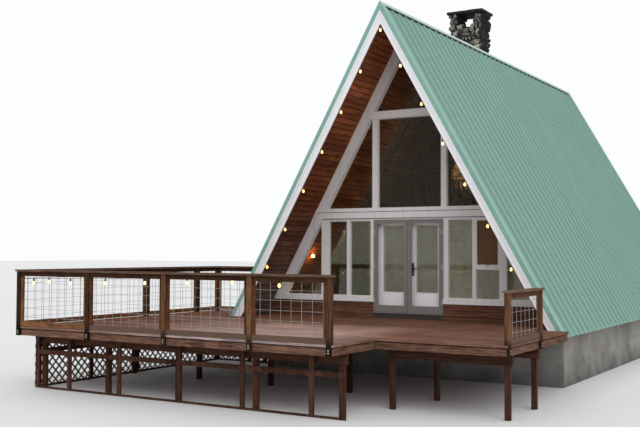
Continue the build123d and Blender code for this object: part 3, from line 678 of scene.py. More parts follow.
panel_low, panel_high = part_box("left_roof_panel")
sheet_low, sheet_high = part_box("left_roof_sheet")
eave_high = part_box("right_roof_sheet")[1]
eave_half = eave_high[0]
ridge_top = eave_high[2]
eave_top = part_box("fascia_boards")[0][2]
slope_angle = math.atan2(ridge_top - eave_top, eave_half)
soffit_board_width = 0.1305
panel_thickness = 0.066
sheet_thickness = 0.032
groove = 0.010
first_course = 0.12
shortest_board = 0.6
joint = 0.0005
board_run = 4.8
half_run = board_run / 2
slope_length = math.hypot(eave_half, ridge_top - eave_top)
courses = math.ceil(slope_length / soffit_board_width) + 1
chimney_low, chimney_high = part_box("chimney_stack")
soffit_wood, tree, shader, place, tone = wood(
    "soffit_wood", (0.12, 0.036, 0.018), (0.37, 0.13, 0.066), grain_inward, knots=0.5, spread=0.7
)
shader.inputs["Specular IOR Level"].default_value = 0.02
x, y, z = axes(tree, place)
down_x = calculate(tree, "MULTIPLY", calculate(tree, "ABSOLUTE", x), math.cos(slope_angle))
down_z = calculate(tree, "MULTIPLY", calculate(tree, "SUBTRACT", ridge_top, z), math.sin(slope_angle))
down = calculate(tree, "ADD", calculate(tree, "ADD", down_x, down_z), first_course)
board_line = calculate(tree, "FRACT", calculate(tree, "DIVIDE", down, soffit_board_width))
tone = shaded(tree, tone, ramp(tree, board_line, (0.02, 0.25), (0.10, 1.0), (0.90, 1.0), (0.98, 0.25)))
# Painted light and shade: the boards are paler and bluer low down, darker halfway up and pale again near the
# ridge.
rise = calculate(tree, "DIVIDE", z, ridge_top)
painted_light_by_height = ramp(tree, rise, (0.2, (0.72, 1.45, 2.4)), (0.5, (0.8, 0.74, 0.62)), (0.9, (2.0, 2.05, 1.9)))
ceiling = tone
tone = shaded(tree, tone, painted_light_by_height)
room_middle = (panel_low[1] + panel_high[1]) / 2
room_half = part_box("cabin_floor")[1][1] / 2 - 0.06
inside = calculate(tree, "COMPARE", y, room_middle, room_half)
# Painted light: inside, the ceiling is much paler near the front wall and darker deeper in.
painted_light_by_depth = ramp(tree, calculate(tree, "DIVIDE", y, 6.0), (0.25, (3.3, 3.7, 3.9)), (0.5, (0.9, 0.75, 0.7)))
tone = mix(tree, inside, tone, shaded(tree, ceiling, painted_light_by_depth))
tree.links.new(tone, shader.inputs["Base Color"])
for side, panel in ((-1, "left_roof_panel"), (1, "right_roof_panel")):
    board = grooved_board(
        "roof_board",
        (joint, -half_run, -sheet_thickness - panel_thickness),
        (soffit_board_width, half_run, -sheet_thickness),
        1,
        lambda corner: corner[2] < -sheet_thickness - panel_thickness / 2,
    )
    lean = Matrix.Rotation(slope_angle, 4, "Y")
    mirror = Matrix.Scale(side, 4, (1, 0, 0))
    laid = []
    for course in range(courses):
        down = course * soffit_board_width - first_course
        along = panel_low[1] - random.uniform(0, board_run - shortest_board)
        while along < panel_high[1]:
            place = mirror @ Matrix.Translation((0, along + half_run, ridge_top)) @ lean
            laid.append(laid_copy(board, place @ Matrix.Translation((down, 0, 0))))
            along += board_run + joint
    boards = joined(f"{panel[:-6]}_boards", laid, board)
    turn_faces_out(boards)
    cuts = (
        ((0, panel_low[1], 0), (0, -1, 0)),
        ((0, panel_high[1], 0), (0, 1, 0)),
        ((side * joint, 0, 0), (-side, 0, 0)),
        ((0, 0, panel_low[2]), (0, 0, -1)),
    )
    bpy.ops.object.mode_set(mode="EDIT")
    for spot, outward in cuts:
        bpy.ops.mesh.select_all(action="SELECT")
        bpy.ops.mesh.bisect(plane_co=spot, plane_no=outward, use_fill=True, clear_outer=True)
    bpy.ops.object.mode_set(mode="OBJECT")
    if side < 0:
        combine(boards, start_block("chimney_room", chimney_low, chimney_high), "DIFFERENCE")
    cover(boards, soffit_wood)
    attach(boards, "cabin")
    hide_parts(panel)

# Rafters
# Pairs of sawn fir rafters carry the boards from below, and meet at the ridge. They are stained like the
# boards.
rafter_dark = (0.05, 0.02, 0.011)
rafter_light = (0.22, 0.095, 0.055)
rafter_wood = wood("rafter_wood", rafter_dark, rafter_light, (10, 40, 10), cell=(9, 0.9, 9))[0]
finish_with(rafter_wood, "rafters")

# Metal roof
# Ribbed steel sheets, one length from ridge to eave, baked in mint green enamel. Rain has left faint
# streaks down the slope, a painted shade darkens the pan beside each rib, and every third rib laps the next
# sheet.
rib_pitch = 0.319
first_rib = sheet_low[1] + ((sheet_high[1] - sheet_low[1]) % rib_pitch + rib_pitch) / 2
mint = (0.175, 0.345, 0.275)
enamel, tree, shader, place = new_material("mint_enamel", 0.38)
shader.inputs["Specular IOR Level"].default_value = 0.35
x, y, z = axes(tree, place)
run = calculate(tree, "DIVIDE", calculate(tree, "SUBTRACT", y, first_rib), rib_pitch)
phase = calculate(tree, "FRACT", calculate(tree, "ADD", run, 0.5))
wave = calculate(tree, "ABSOLUTE", calculate(tree, "SUBTRACT", phase, 0.5))
streaks = noise(tree, stretch(tree, place, (0.35, 14, 0.35)), 1.0, 5, 0.55, 0.4)
clouds = noise(tree, place, 0.8, 5, 0.55)
tone = ramp(tree, streaks, (0.3, scaled(mint, 0.88)), (0.7, scaled(mint, 1.06)))
tone = shaded(tree, tone, ramp(tree, clouds, (0.3, 0.82), (0.7, 1.12)), 0.5)
# Painted shade: a thin darker line in the pan beside each rib.
painted_rib_shade = ramp(tree, wave, (0.0, 1.0), (0.05, 1.0), (0.115, 0.66), (0.135, 0.68), (0.22, 1.0))
tone = shaded(tree, tone, painted_rib_shade, 0.8)
tree.links.new(tone, shader.inputs["Base Color"])
tree.links.new(ramp(tree, clouds, (0.3, 0.3), (0.7, 0.5)), shader.inputs["Roughness"])
relief(tree, shader, noise(tree, stretch(tree, place, (0.6, 3, 0.6)), 1.0, 2, 0.4), 0.004, 0.6)
finish_with(enamel, "left_roof_sheet", "right_roof_sheet")

# Roof trim
# The flashings along the gable edges are bent from flat sheet of the same green. They have weathered a
# little paler than the ribbed sheets.
trim_enamel, tree, shader, place = new_material("trim_enamel", 0.4)
shader.inputs["Specular IOR Level"].default_value = 0.3
clouds = noise(tree, place, 1.2, 5, 0.55)
streaks = noise(tree, stretch(tree, place, (9, 1.5, 9)), 1.0, 4, 0.5)
tone = ramp(tree, clouds, (0.3, (0.20, 0.40, 0.34)), (0.7, (0.27, 0.47, 0.40)))
tone = shaded(tree, tone, ramp(tree, streaks, (0.3, 0.8), (0.7, 1.1)), 0.4)
tree.links.new(tone, shader.inputs["Base Color"])
tree.links.new(ramp(tree, clouds, (0.3, 0.35), (0.7, 0.5)), shader.inputs["Roughness"])
relief(tree, shader, clouds, 0.002, 0.5)
finish_with(trim_enamel, "rake_flashings")

# Ridge
# The folded cap over the ridge is pale green, a painted sky reflection. Under its edges a dark foam closure
# fills the ribs and reaches out past the cap's edge as a thin line, partly painted shadow.
# Painted sky reflection: the cap's colour is much paler than the sheets'.
painted_light = ((0.3, (0.42, 0.55, 0.50)), (0.7, (0.55, 0.66, 0.62)))
cap_enamel = mottled("enamel_with_painted_sheen", 0.5, (2.0, 5, 0.55), painted_light, 0.002, strength=0.5)
finish_with(cap_enamel, "ridge_cap")
cap_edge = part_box("ridge_cap")[1][0] / math.cos(slope_angle)
closure_tucked = 0.004
# The dark strips reach out past the cap's edge over pans and ribs alike: partly the foam closure, partly
# painted shadow.
closure_shadow_reach = 0.035
closure_depth = 0.026
closures = []
for side in (-1, 1):
    strip_low = (cap_edge - closure_tucked, sheet_low[1] + 0.01, -closure_depth)
    strip_high = (cap_edge + closure_shadow_reach, sheet_high[1] - 0.01, closure_tucked)
    strip = start_block("closure", strip_low, strip_high, 0.0005)
    lean = Matrix.Translation((0, 0, ridge_top)) @ Matrix.Rotation(slope_angle, 4, "Y")
    strip.data.transform(Matrix.Scale(side, 4, (1, 0, 0)) @ lean)
    closures.append(strip)
closure = joined("ridge_closures", closures)
turn_faces_out(closure)
pores = ((0.3, (0.012, 0.03, 0.022)), (0.7, (0.03, 0.065, 0.05)))
foam_and_shadow = mottled("closure_foam_and_shadow", 0.9, (60, 3, 0.6), pores, 0.001)
cover(closure, foam_and_shadow)
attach(closure, "cabin")

# Roof screws
# Painted hex screws, each on a thin round washer, hold the sheets to the boards below. They stand in level
# rows, beside every rib.
screw_rows = 9
screw_radius = 0.009
first_row = 0.25
rows_reach = slope_length - 0.4
beside_rib = 0.22
chimney_margin = 0.02
bpy.ops.mesh.primitive_cylinder_add(vertices=10, radius=screw_radius, depth=0.003, location=(0, 0, 0.0015))
washer = bpy.context.object
bpy.ops.object.transform_apply(location=True)
bpy.ops.mesh.primitive_cylinder_add(vertices=6, radius=0.0055, depth=0.006, location=(0, 0, 0.005))
head = bpy.context.object
bpy.ops.object.transform_apply(location=True)
ease_edges(0.0009)
screw = joined("screw", [washer, head])
ribs = int((sheet_high[1] - sheet_low[1]) / rib_pitch)
screws = []
pan_depth = 0.028
for side in (-1, 1):
    for row in range(screw_rows):
        down = first_row + row * rows_reach / (screw_rows - 1)
        for rib in range(ribs - 1):
            along = first_rib + (rib + beside_rib) * rib_pitch
            point = Vector((down, 0, -pan_depth - 0.0002))
            seat = Matrix.Rotation(slope_angle, 4, "Y") @ point
            spot = Vector((side * seat[0], along, ridge_top + seat[2]))
            inside_x = chimney_low[0] - chimney_margin < spot[0] < chimney_high[0] + chimney_margin
            inside_y = chimney_low[1] - chimney_margin < along < chimney_high[1] + chimney_margin
            if inside_x and inside_y:
                continue
            lean = Matrix.Rotation(side * slope_angle, 4, "Y")
            screws.append(laid_copy(screw, Matrix.Translation(spot) @ lean))
roof_screws = joined("roof_screws", screws, screw)
worn_green = ((0.35, (0.24, 0.44, 0.36)), (0.7, (0.16, 0.27, 0.22)))
screw_paint = mottled("screw_paint", 0.45, (8, 3, 0.5), worn_green, 0.0003)
cover(roof_screws, screw_paint)
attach(roof_screws, "cabin")


# Painted boards
# Fascias, wall trims, sills, band, window frames and doors are smooth boards under white paint, with faint
# grain and streaks of grime. The storm doors and the frame round them are painted gray. The fascias and the
# inner doors get paler copies of the white, which are painted light.
def paint(name, colour, roughness, grime):
    """Old brushed paint on wood or metal."""
    material, tree, shader, place = new_material(name, roughness)
    grain = noise(tree, stretch(tree, place, (22, 22, 22)), 1.0, 5, 0.6)
    clouds = noise(tree, place, 1.7, 5, 0.6)
    runs = noise(tree, stretch(tree, place, (18, 18, 0.7)), 1.0, 4, 0.6)
    tone = ramp(tree, clouds, (0.3, scaled(colour, 0.93)), (0.7, colour))
    tone = mix(tree, ramp(tree, runs, (0.52, 0.0), (0.8, grime)), tone, scaled(colour, 0.45))
    tone = shaded(tree, tone, ramp(tree, grain, (0.3, 0.75), (0.7, 1.0)), 0.12)
    tree.links.new(tone, shader.inputs["Base Color"])
    relief(tree, shader, grain, 0.0006, 0.7)
    return material


white_paint = paint("white_paint", (0.80, 0.78, 0.775), 0.5, 0.35)
finish_with(
    white_paint,
    "front_wall",
    "front_window_frames",
    "wall_rake_trims",
    "sill_trims",
    "band_and_collar_boards",
    "band_ledges",
    "back_window_frames",
)
# Painted light: the fascias get a paler, bluer copy of the white paint.
fascia_painted_light = paint("fascia_painted_light", (0.92, 0.92, 0.955), 0.5, 0.12)
finish_with(fascia_painted_light, "fascia_boards", "fascia_caps")
# Painted light: the inner doors and their panels get a paler copy of the white paint.
door_painted_light = paint("door_painted_light", (0.95, 0.92, 0.95), 0.4, 0.12)
finish_with(door_painted_light, "left_door", "right_door")
gray_paint = paint("gray_paint", (0.215, 0.185, 0.18), 0.45, 0.25)
finish_with(gray_paint, "door_frame", "left_storm_door", "right_storm_door")


# Front base siding
# Below the sills the wall is covered with the same dark tongue and groove boards as the soffit. They are
# laid level, with the grooves outside.
def level_boards(name, source, board_name, first_height, faces_out):
    """Courses of level boards, cut to the outline of the frame's own wall."""
    low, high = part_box(source)
    board = grooved_board(
        board_name, (low[0], low[1], joint), (high[0], high[1], soffit_board_width), 0, faces_out
    )
    laid = []
    height = first_height
    while height < high[2]:
        laid.append(laid_copy(board, Matrix.Translation((0, 0, height))))
        height += soffit_board_width
    courses = joined(name, laid, board)
    combine(courses, merged_copy(source, "outline"), "INTERSECT")
    return courses


siding_dark = (0.05, 0.02, 0.012)
siding_light = (0.24, 0.105, 0.065)
siding_wood = wood("siding_wood", siding_dark, siding_light, (2.2, 40, 40), knots=0.5)[0]
siding_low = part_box("front_base_siding")[0]
base_boards = level_boards(
    "front_base_boards",
    "front_base_siding",
    "siding_board",
    siding_low[2] - 0.05,
    lambda corner: corner[1] < siding_low[1] + 0.001,
)
cover(base_boards, siding_wood)
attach(base_boards, "cabin")
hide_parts("front_base_siding")

# Back wall boards
# The back gable is sided with the same level boards, grooved inside and out. They are cut to the slopes and
# round the windows.
back_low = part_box("back_wall")[0]
back_boards = level_boards("back_wall_boards", "back_wall", "back_board", back_low[2], lambda corner: True)
cover(back_boards, siding_wood)
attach(back_boards, "cabin")
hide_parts("back_wall")

# Floors inside
# Fir floor boards with a dull varnish, on the ground floor and the loft. The loft's rail and its balusters
# are stained nearly black.
inside_wood, tree, shader, place, tone = wood(
    "inside_wood", (0.12, 0.06, 0.03), (0.36, 0.20, 0.10), (40, 2.2, 40), 0.45, (0.14, 30, 30)
)
floor_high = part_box("cabin_floor")[1]
within = calculate(tree, "COMPARE", axes(tree, place)[1], floor_high[1] / 2, floor_high[1] / 2 - 0.13)
tree.links.new(mix(tree, within, (0.06, 0.05, 0.045), tone), shader.inputs["Base Color"])
finish_with(inside_wood, "cabin_floor", "loft_floor")
loft_dark = (0.02, 0.012, 0.008)
loft_light = (0.10, 0.06, 0.04)
loft_wood = wood("loft_wood", loft_dark, loft_light, (20, 20, 20), 0.45, (0.13, 9, 9))[0]
finish_with(loft_wood, "loft_rail")

# Glass
# Old drawn panes with a faint warm tint and slight waves. Those of the tall upper windows are coated against
# glare and mirror less than the plain ones below, and those of the storm doors are the clearest.
def glazing(name, bend, mirror_tint, dust, tint=(0.94, 0.92, 0.72)):
    """Clear wavy glass. A lower bend mirrors less. Dust is the film's strength right of the left windows."""
    material, tree, shader, place = new_material(name, 0.0)
    shader.inputs["IOR"].default_value = bend
    shader.inputs["Specular Tint"].default_value = (*mirror_tint, 1)
    haze = noise(tree, place, 1.5, 3, 0.5)
    rain = noise(tree, stretch(tree, place, (16, 16, 0.9)), 1.0, 4, 0.6)
    film = ramp(tree, rain, (0.3, 0.5 * dust), (0.7, 1.5 * dust))
    sunny_side = calculate(tree, "GREATER_THAN", axes(tree, place)[0], door_middle - 1.0)
    film = calculate(tree, "MULTIPLY", film, ramp(tree, sunny_side, (0.0, 0.12), (1.0, 1.0)))
    tree.links.new(calculate(tree, "SUBTRACT", 1.0, film), shader.inputs["Transmission Weight"])
    tone = ramp(tree, haze, (0.3, scaled(tint, 0.91)), (0.7, tint))
    tree.links.new(tone, shader.inputs["Base Color"])
    tree.links.new(ramp(tree, haze, (0.3, 0.0), (0.8, 0.03)), shader.inputs["Roughness"])
    relief(tree, shader, noise(tree, stretch(tree, place, (5, 5, 0.8)), 1.0, 2, 0.4), 0.0015)
    return material


door_middle = (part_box("left_door")[0][0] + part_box("right_door")[1][0]) / 2
plain_glass = glazing("plain_glass", 1.45, (0.95, 1.0, 0.8), 0.13)
door_glass = glazing("door_glass", 1.42, (0.95, 1.0, 0.9), 0.13)
storm_glass = glazing("storm_glass", 1.42, (0.95, 1.0, 0.9), 0.0, (0.98, 0.98, 0.96))
dark_glass = glazing("coated_glass", 1.18, (1.0, 0.9, 0.8), 0.01)
finish_with(door_glass, "left_door_glass", "right_door_glass")
storm_alpha = 0.16
storm_glass.node_tree.nodes["Principled BSDF"].inputs["Alpha"].default_value = storm_alpha
finish_with(storm_glass, "left_storm_glass", "right_storm_glass")
band_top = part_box("band_and_collar_boards")[0][2] + 0.15
panes = merged_copy("window_glass", "lower_window_panes")
deselect_all()
for face in panes.data.polygons:
    face.select = face.center[2] > band_top and face.center[1] < sheet_high[1] / 2
bpy.ops.object.mode_set(mode="EDIT")
bpy.ops.mesh.select_linked()
bpy.ops.mesh.separate(type="SELECTED")
bpy.ops.object.mode_set(mode="OBJECT")
upper_panes = [piece for piece in bpy.context.selected_objects if piece != panes][0]
upper_panes.name = "upper_window_panes"
for pane_set, finish in ((panes, plain_glass), (upper_panes, dark_glass)):
    cover(pane_set, finish)
    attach(pane_set, "cabin")
    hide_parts("window_glass")


# Glazing beads
# A thin white strip runs round each pane where it meets its frame, mitred at the corners, outside on the
# windows and on both sides of the inner doors' glass.
def ease_corners(piece, width):
    """Bevels a piece's sharp edges alone."""
    ease = piece.modifiers.new("ease", "BEVEL")
    ease.width = width
    ease.segments = 2
    ease.limit_method = "ANGLE"
    bpy.ops.object.modifier_apply(modifier=ease.name)


def bead_ring(name, source, width, depth, facing):
    """The rim of each pane that faces one way, raised from the glass as a bevelled strip."""
    ring = merged_copy(source, name)
    bpy.ops.object.mode_set(mode="EDIT")
    bpy.ops.mesh.select_mode(type="FACE")
    bpy.ops.mesh.select_all(action="DESELECT")
    bpy.ops.object.mode_set(mode="OBJECT")
    for face in ring.data.polygons:
        face.select = facing(face) < 0.9
    bpy.ops.object.mode_set(mode="EDIT")
    bpy.ops.mesh.delete(type="FACE")
    bpy.ops.mesh.select_all(action="SELECT")
    bpy.ops.mesh.inset(thickness=width, use_boundary=True)
    bpy.ops.mesh.delete(type="FACE")
    bpy.ops.mesh.select_mode(type="VERT")
    bpy.ops.object.mode_set(mode="OBJECT")
    solid = ring.modifiers.new("depth", "SOLIDIFY")
    solid.thickness = depth
    solid.offset = 1
    bpy.ops.object.modifier_apply(modifier=solid.name)
    ease_corners(ring, depth * 0.35)
    cover(ring, white_paint)
    return ring


middle_y = (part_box("window_glass")[0][1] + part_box("window_glass")[1][1]) / 2
window_beads = bead_ring(
    "window_beads",
    "window_glass",
    width=0.016,
    depth=0.012,
    facing=lambda face: face.normal[1] * (1 if face.center[1] > middle_y else -1),
)
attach(window_beads, "cabin")
for leaf in ("left_door", "right_door"):
    for outward, label in ((-1, "outer"), (1, "inner")):
        beads = bead_ring(
            f"{leaf}_{label}_beads",
            f"{leaf}_glass",
            width=0.018,
            depth=0.010,
            facing=lambda face, way=outward: face.normal[1] * way,
        )
        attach(beads, leaf)

# Door ironmongery
# The lock plate, lever and thumb turn are black enamelled iron, and the hinges are dull steel. A wider cast
# plate with a round rose for the key covers the lock's own.
worn_black = ((0.3, (0.012, 0.012, 0.013)), (0.75, (0.05, 0.048, 0.045)))
black_iron = mottled("black_iron", 0.35, (40, 4, 0.6), worn_black, 0.0004)
finish_with(black_iron, "door_handle")
handle_low, handle_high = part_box("door_handle")
own_plate_half = 0.022
plate_x = handle_low[0] + own_plate_half
plate_z = (handle_low[2] + handle_high[2]) / 2
plate_half_width = 0.034
plate_thickness = 0.010
plate_above = 0.125
plate_below = 0.165
rose_below = 0.125
rose_out = 0.016
door_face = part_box("right_door")[0][1]
plate_low = (plate_x - plate_half_width, door_face - plate_thickness, plate_z - plate_below)
plate_high = (plate_x + plate_half_width, door_face, plate_z + plate_above)
plate = start_block("plate", plate_low, plate_high, 0.004)
rose_turn = (math.radians(90), 0, 0)
rose_place = (plate_x, door_face - rose_out, plate_z - rose_below)
bpy.ops.mesh.primitive_cylinder_add(
    vertices=24, radius=0.024, depth=0.014, location=rose_place, rotation=rose_turn
)
rose = bpy.context.object
bpy.ops.object.transform_apply(location=True, rotation=True, scale=True)
ease_edges(0.003, 2)
lock_cover = joined("lock_cover", [plate, rose])
cover(lock_cover, black_iron)
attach(lock_cover, "right_door")
dull_steel = ((0.3, (0.35, 0.34, 0.33)), (0.7, (0.55, 0.54, 0.52)))
hinge_steel = mottled("hinge_steel", 0.35, (50, 4, 0.6), dull_steel, 0.0003, metallic=0.9)
finish_with(hinge_steel, "door_hinges")

# Chimney
# River stones of all sizes stand out round a core of dark mortar, in rough courses. Two stone legs carry
# the cap over the flue's open mouth, whose floor dips to the middle. Soot blackens them in blotches, and the
# faces that look right are nearly black. Below the roof, painted lamplight and shade make them darker and
# warm brown.
def boulder(name, cuts, roundness):
    """A stone a metre across: a block of many faces, drawn towards a ball."""
    bpy.ops.mesh.primitive_cube_add(size=1)
    piece = bpy.context.object
    piece.name = name
    bpy.ops.object.mode_set(mode="EDIT")
    bpy.ops.mesh.select_all(action="SELECT")
    bpy.ops.mesh.subdivide(number_cuts=cuts)
    bpy.ops.object.mode_set(mode="OBJECT")
    cast = piece.modifiers.new("round", "CAST")
    cast.factor = roundness
    cast.size = 0.56
    cast.use_radius_as_size = False
    bpy.ops.object.modifier_apply(modifier=cast.name)
    bpy.ops.object.shade_smooth()
    return piece


def set_stone(master, centre, size, turn=0.0):
    """One stone, worn in its own way, bedded at its place."""
    seat = Matrix.Translation(centre) @ Matrix.Rotation(turn, 4, "Y") @ Matrix.Diagonal((*size, 1))
    piece = laid_copy(master, seat)
    seed = Vector([random.uniform(0, 50) for axis in range(3)])
    wear = 0.3 * min(size)
    for vertex in piece.data.vertices:
        outward = (vertex.co - Vector(centre)).normalized()
        vertex.co += outward * wear * noise_at(vertex.co / max(size) * 2.1 + seed)
        vertex.co[2] = max(vertex.co[2], 0.001)
    return piece


def stone_courses(low, high, masters, fine_from):
    """Rough courses of stones round a rectangular shaft."""
    laid = []
    height = low[2]
    course = 0
    while height < high[2] - 0.06:
        rise = min(random.uniform(0.10, 0.20), high[2] - height)
        if high[2] - height - rise < lowest_course:
            rise = high[2] - height
        master = masters[1] if height + rise < fine_from else masters[0]
        for axis in (0, 1):
            along_low = low[axis]
            along_high = high[axis]
            owns_corner = (course + axis) % 2 == 0
            if not owns_corner:
                along_low += stone_depth * corner_share
                along_high -= stone_depth * corner_share
            for face in (low[1 - axis], high[1 - axis]):
                inward = 1 if face == low[1 - axis] else -1
                along = along_low
                while along < along_high - 0.03:
                    run = random.uniform(0.75, 1.7) * rise
                    if along_high - along - run < shortest_stone:
                        run = along_high - along
                    thick = min(stone_depth, high[1 - axis] - low[1 - axis])
                    sunk = random.uniform(0.0, 0.07)
                    centre = [0, 0, height + rise / 2]
                    centre[axis] = along + run / 2
                    centre[1 - axis] = face + inward * (thick / 2 + sunk - stone_proud)
                    size = [0, 0, rise * random.uniform(0.9, 1.08)]
                    size[axis] = run * random.uniform(0.9, 1.06)
                    size[1 - axis] = thick
                    laid.append(set_stone(master, centre, size))
                    along += run
        height += rise
        course += 1
    return laid


stone_depth = 0.2
stone_proud = 0.012
shortest_stone = 0.09
lowest_course = 0.08
corner_share = 0.62
mortar_inset = 0.055
mouth_left = -0.76
mouth_right = -0.29
mouth_height = 0.44
roof_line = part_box("ridge_cap")[1][2] - 1.9
fine_stone = boulder("fine_stone", 4, 0.8)
plain_stone = boulder("plain_stone", 2, 0.6)
stone_masters = (fine_stone, plain_stone)
sill_height = chimney_high[2] - mouth_height
shaft_high = (chimney_high[0], chimney_high[1], sill_height)
left_leg_high = (mouth_left, chimney_high[1], chimney_high[2])
right_leg_low = (mouth_right, chimney_low[1], sill_height)
stones = stone_courses(chimney_low, shaft_high, stone_masters, roof_line)
stones += stone_courses((chimney_low[0], chimney_low[1], sill_height), left_leg_high, stone_masters, 0)
stones += stone_courses(right_leg_low, chimney_high, stone_masters, 0)
rim_pitch = 0.18
for spot in range(4):
    across = chimney_low[1] + rim_pitch / 2 + spot * rim_pitch
    for reach, size in ((mouth_left + 0.07, 0.24), (mouth_right - 0.06, 0.2)):
        stones.append(set_stone(fine_stone, (reach, across, sill_height + 0.02), (size, 0.2, size)))
    mouth_floor = ((mouth_left + mouth_right) / 2, across, sill_height - 0.03)
    stones.append(set_stone(fine_stone, mouth_floor, (0.2, 0.2, 0.12)))
stones = joined("chimney_stones", stones, fine_stone, plain_stone)
core_corners = (
    (chimney_low, shaft_high),
    ((chimney_low[0], chimney_low[1], sill_height - 0.1), left_leg_high),
    (right_leg_low, chimney_high),
)
cores = []
for number, (low, high) in enumerate(core_corners):
    foot = low[2] if number == 0 else low[2] - 0.1
    top = high[2] - mortar_inset if number == 0 else high[2]
    inner_low = (low[0] + mortar_inset, low[1] + mortar_inset, foot)
    inner_high = (high[0] - mortar_inset, high[1] - mortar_inset, top)
    cores.append(start_block(f"core_{number}", inner_low, inner_high, 0.01))
core = joined("chimney_mortar", cores)
stone, tree, shader, place = new_material("river_stone", 0.85)
shader.inputs["Specular IOR Level"].default_value = 0.1
island = tree.nodes.new("ShaderNodeNewGeometry").outputs["Random Per Island"]
kind = ramp(
    tree,
    island,
    (0.0, (0.02, 0.019, 0.022)),
    (0.2, (0.26, 0.23, 0.19)),
    (0.36, (0.40, 0.40, 0.37)),
    (0.5, (0.04, 0.037, 0.04)),
    (0.66, (0.55, 0.54, 0.48)),
    (0.82, (0.16, 0.115, 0.09)),
    (1.0, (0.30, 0.30, 0.31)),
)
lichen = noise(tree, place, 9, 6, 0.65)
tone = mix(tree, ramp(tree, lichen, (0.5, 0.0), (0.6, 0.7)), kind, (0.52, 0.52, 0.45))
soot = noise(tree, place, 4.5, 5, 0.6)
tone = mix(tree, ramp(tree, soot, (0.46, 0.0), (0.64, 0.9)), tone, (0.012, 0.011, 0.014))
# The stones' faces that look right are darkened nearly to black.
faces = tree.nodes.new("ShaderNodeNewGeometry").outputs["Normal"]
right_sides_darkened = ramp(tree, axes(tree, faces)[0], (0.1, 0.0), (0.5, 0.96))
tone = mix(tree, right_sides_darkened, tone, (0.012, 0.012, 0.015))
# Painted lamplight and shade: below the roof the stones are painted darker and warm brown.
indoor_painted_light = calculate(tree, "LESS_THAN", axes(tree, place)[2], roof_line)
tone = mix(tree, indoor_painted_light, tone, mix(tree, 0.85, kind, (0.15, 0.092, 0.052)))
tree.links.new(tone, shader.inputs["Base Color"])
relief(tree, shader, noise(tree, place, 26, 6, 0.6), 0.012)
cover(stones, stone)
mortar, tree, shader, place = new_material("dark_mortar", 0.95)
shader.inputs["Specular IOR Level"].default_value = 0.05
grit = noise(tree, place, 30, 5, 0.7)
tone = ramp(tree, grit, (0.3, (0.018, 0.017, 0.017)), (0.75, (0.07, 0.065, 0.06)))
tree.links.new(tone, shader.inputs["Base Color"])
relief(tree, shader, grit, 0.01)
cover(core, mortar)
for piece in (stones, core):
    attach(piece, "cabin")
    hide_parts("chimney_stack")

# Chimney cap
# A rough concrete slab, cast in place on the two legs. Its edges have crumbled, and it has gone black with
# soot.
slab_low, slab_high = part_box("chimney_cap")
slab = start_block("chimney_cap_slab", slab_low, slab_high)
bpy.ops.object.mode_set(mode="EDIT")
bpy.ops.mesh.select_all(action="SELECT")
bpy.ops.mesh.subdivide(number_cuts=23)
bpy.ops.object.mode_set(mode="OBJECT")
slab_middle = [(first + second) / 2 for first, second in zip(slab_low, slab_high)]
for vertex in slab.data.vertices:
    for axis, bite in ((0, 0.035), (1, 0.035), (2, 0.016)):
        worn = 0.5 + 0.5 * noise_at(vertex.co * (7 if axis < 2 else 4) + Vector((3, 5, 7 + axis)))
        side = -1 if vertex.co[axis] > slab_middle[axis] else 1
        reach = abs(vertex.co[axis] - slab_middle[axis]) / (slab_high[axis] - slab_middle[axis])
        if axis < 2 or side < 0:
            vertex.co[axis] += side * bite * worn * reach**4
bpy.ops.object.shade_smooth_by_angle(angle=math.radians(50))
cap_stone, tree, shader, place = new_material("cap_stone", 0.8)
shader.inputs["Specular IOR Level"].default_value = 0.1
lichen = noise(tree, place, 7, 6, 0.6)
tree.links.new(
    ramp(tree, lichen, (0.4, (0.012, 0.014, 0.015)), (0.62, (0.03, 0.034, 0.034)), (0.8, (0.10, 0.11, 0.10))),
    shader.inputs["Base Color"],
)
relief(tree, shader, noise(tree, place, 20, 6, 0.6), 0.008)
cover(slab, cap_stone)
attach(slab, "cabin")
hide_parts("chimney_cap")

# Shadow strips
# Two thin dark matt strips are painted shadow: one runs along the band under its ledge, the other along the
# foot of the band.
ledge_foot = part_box("band_ledges")[0][2]
band_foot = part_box("band_and_collar_boards")[0][2]
band_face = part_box("band_and_collar_boards")[0][1]
tucked = 0.001
shadow_line_spans = (
    (2.33, band_face - 0.004, band_face, ledge_foot - 0.012, ledge_foot),
    (2.2, -0.008, 0.0, band_foot - 0.014, band_foot),
)
beads = []
for half, front, back, foot, top in shadow_line_spans:
    beads.append(start_block("bead", (-half, front, foot), (half, back + tucked, top + tucked), 0.001))
sealant_beads = joined("sealant_beads", beads)
gritty = ((0.3, (0.05, 0.045, 0.045)), (0.7, (0.10, 0.09, 0.09)))
shadow_line_finish = mottled("painted_shadow_finish", 0.7, (40, 3, 0.6), gritty, 0.0006)
cover(sealant_beads, shadow_line_finish)
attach(sealant_beads, "cabin")

# Opening sash
# The light right of the doors opens: a narrow white sash stands in its frame, with a small latch on the
# transom below, and a fly screen of brown mesh behind it.
sash_low = Vector((1.603, 0.003, 2.42))
sash_high = Vector((2.128, 0.037, 3.42))
rail_width = 0.032
sash = start_block("opening_sash", sash_low, sash_high)
inner = Vector((rail_width, -0.05, rail_width))
combine(sash, start_block("sash_hole", sash_low + inner, sash_high - inner), "DIFFERENCE")
ease_corners(sash, 0.004)
cover(sash, white_paint)
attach(sash, "cabin")
latch_x = (sash_low[0] + sash_high[0]) / 2
latch_foot = Vector((latch_x, sash_low[1], sash_low[2]))
latch_spans = (
    ("catch", (-0.03, -0.012, 0.004), (0.03, 0.002, 0.022)),
    ("lever", (-0.008, -0.022, 0.008), (0.045, -0.010, 0.018)),
)
latch_parts = []
for name, low, high in latch_spans:
    latch_parts.append(start_block(name, latch_foot + Vector(low), latch_foot + Vector(high), 0.003))
latch = joined("sash_latch", latch_parts)
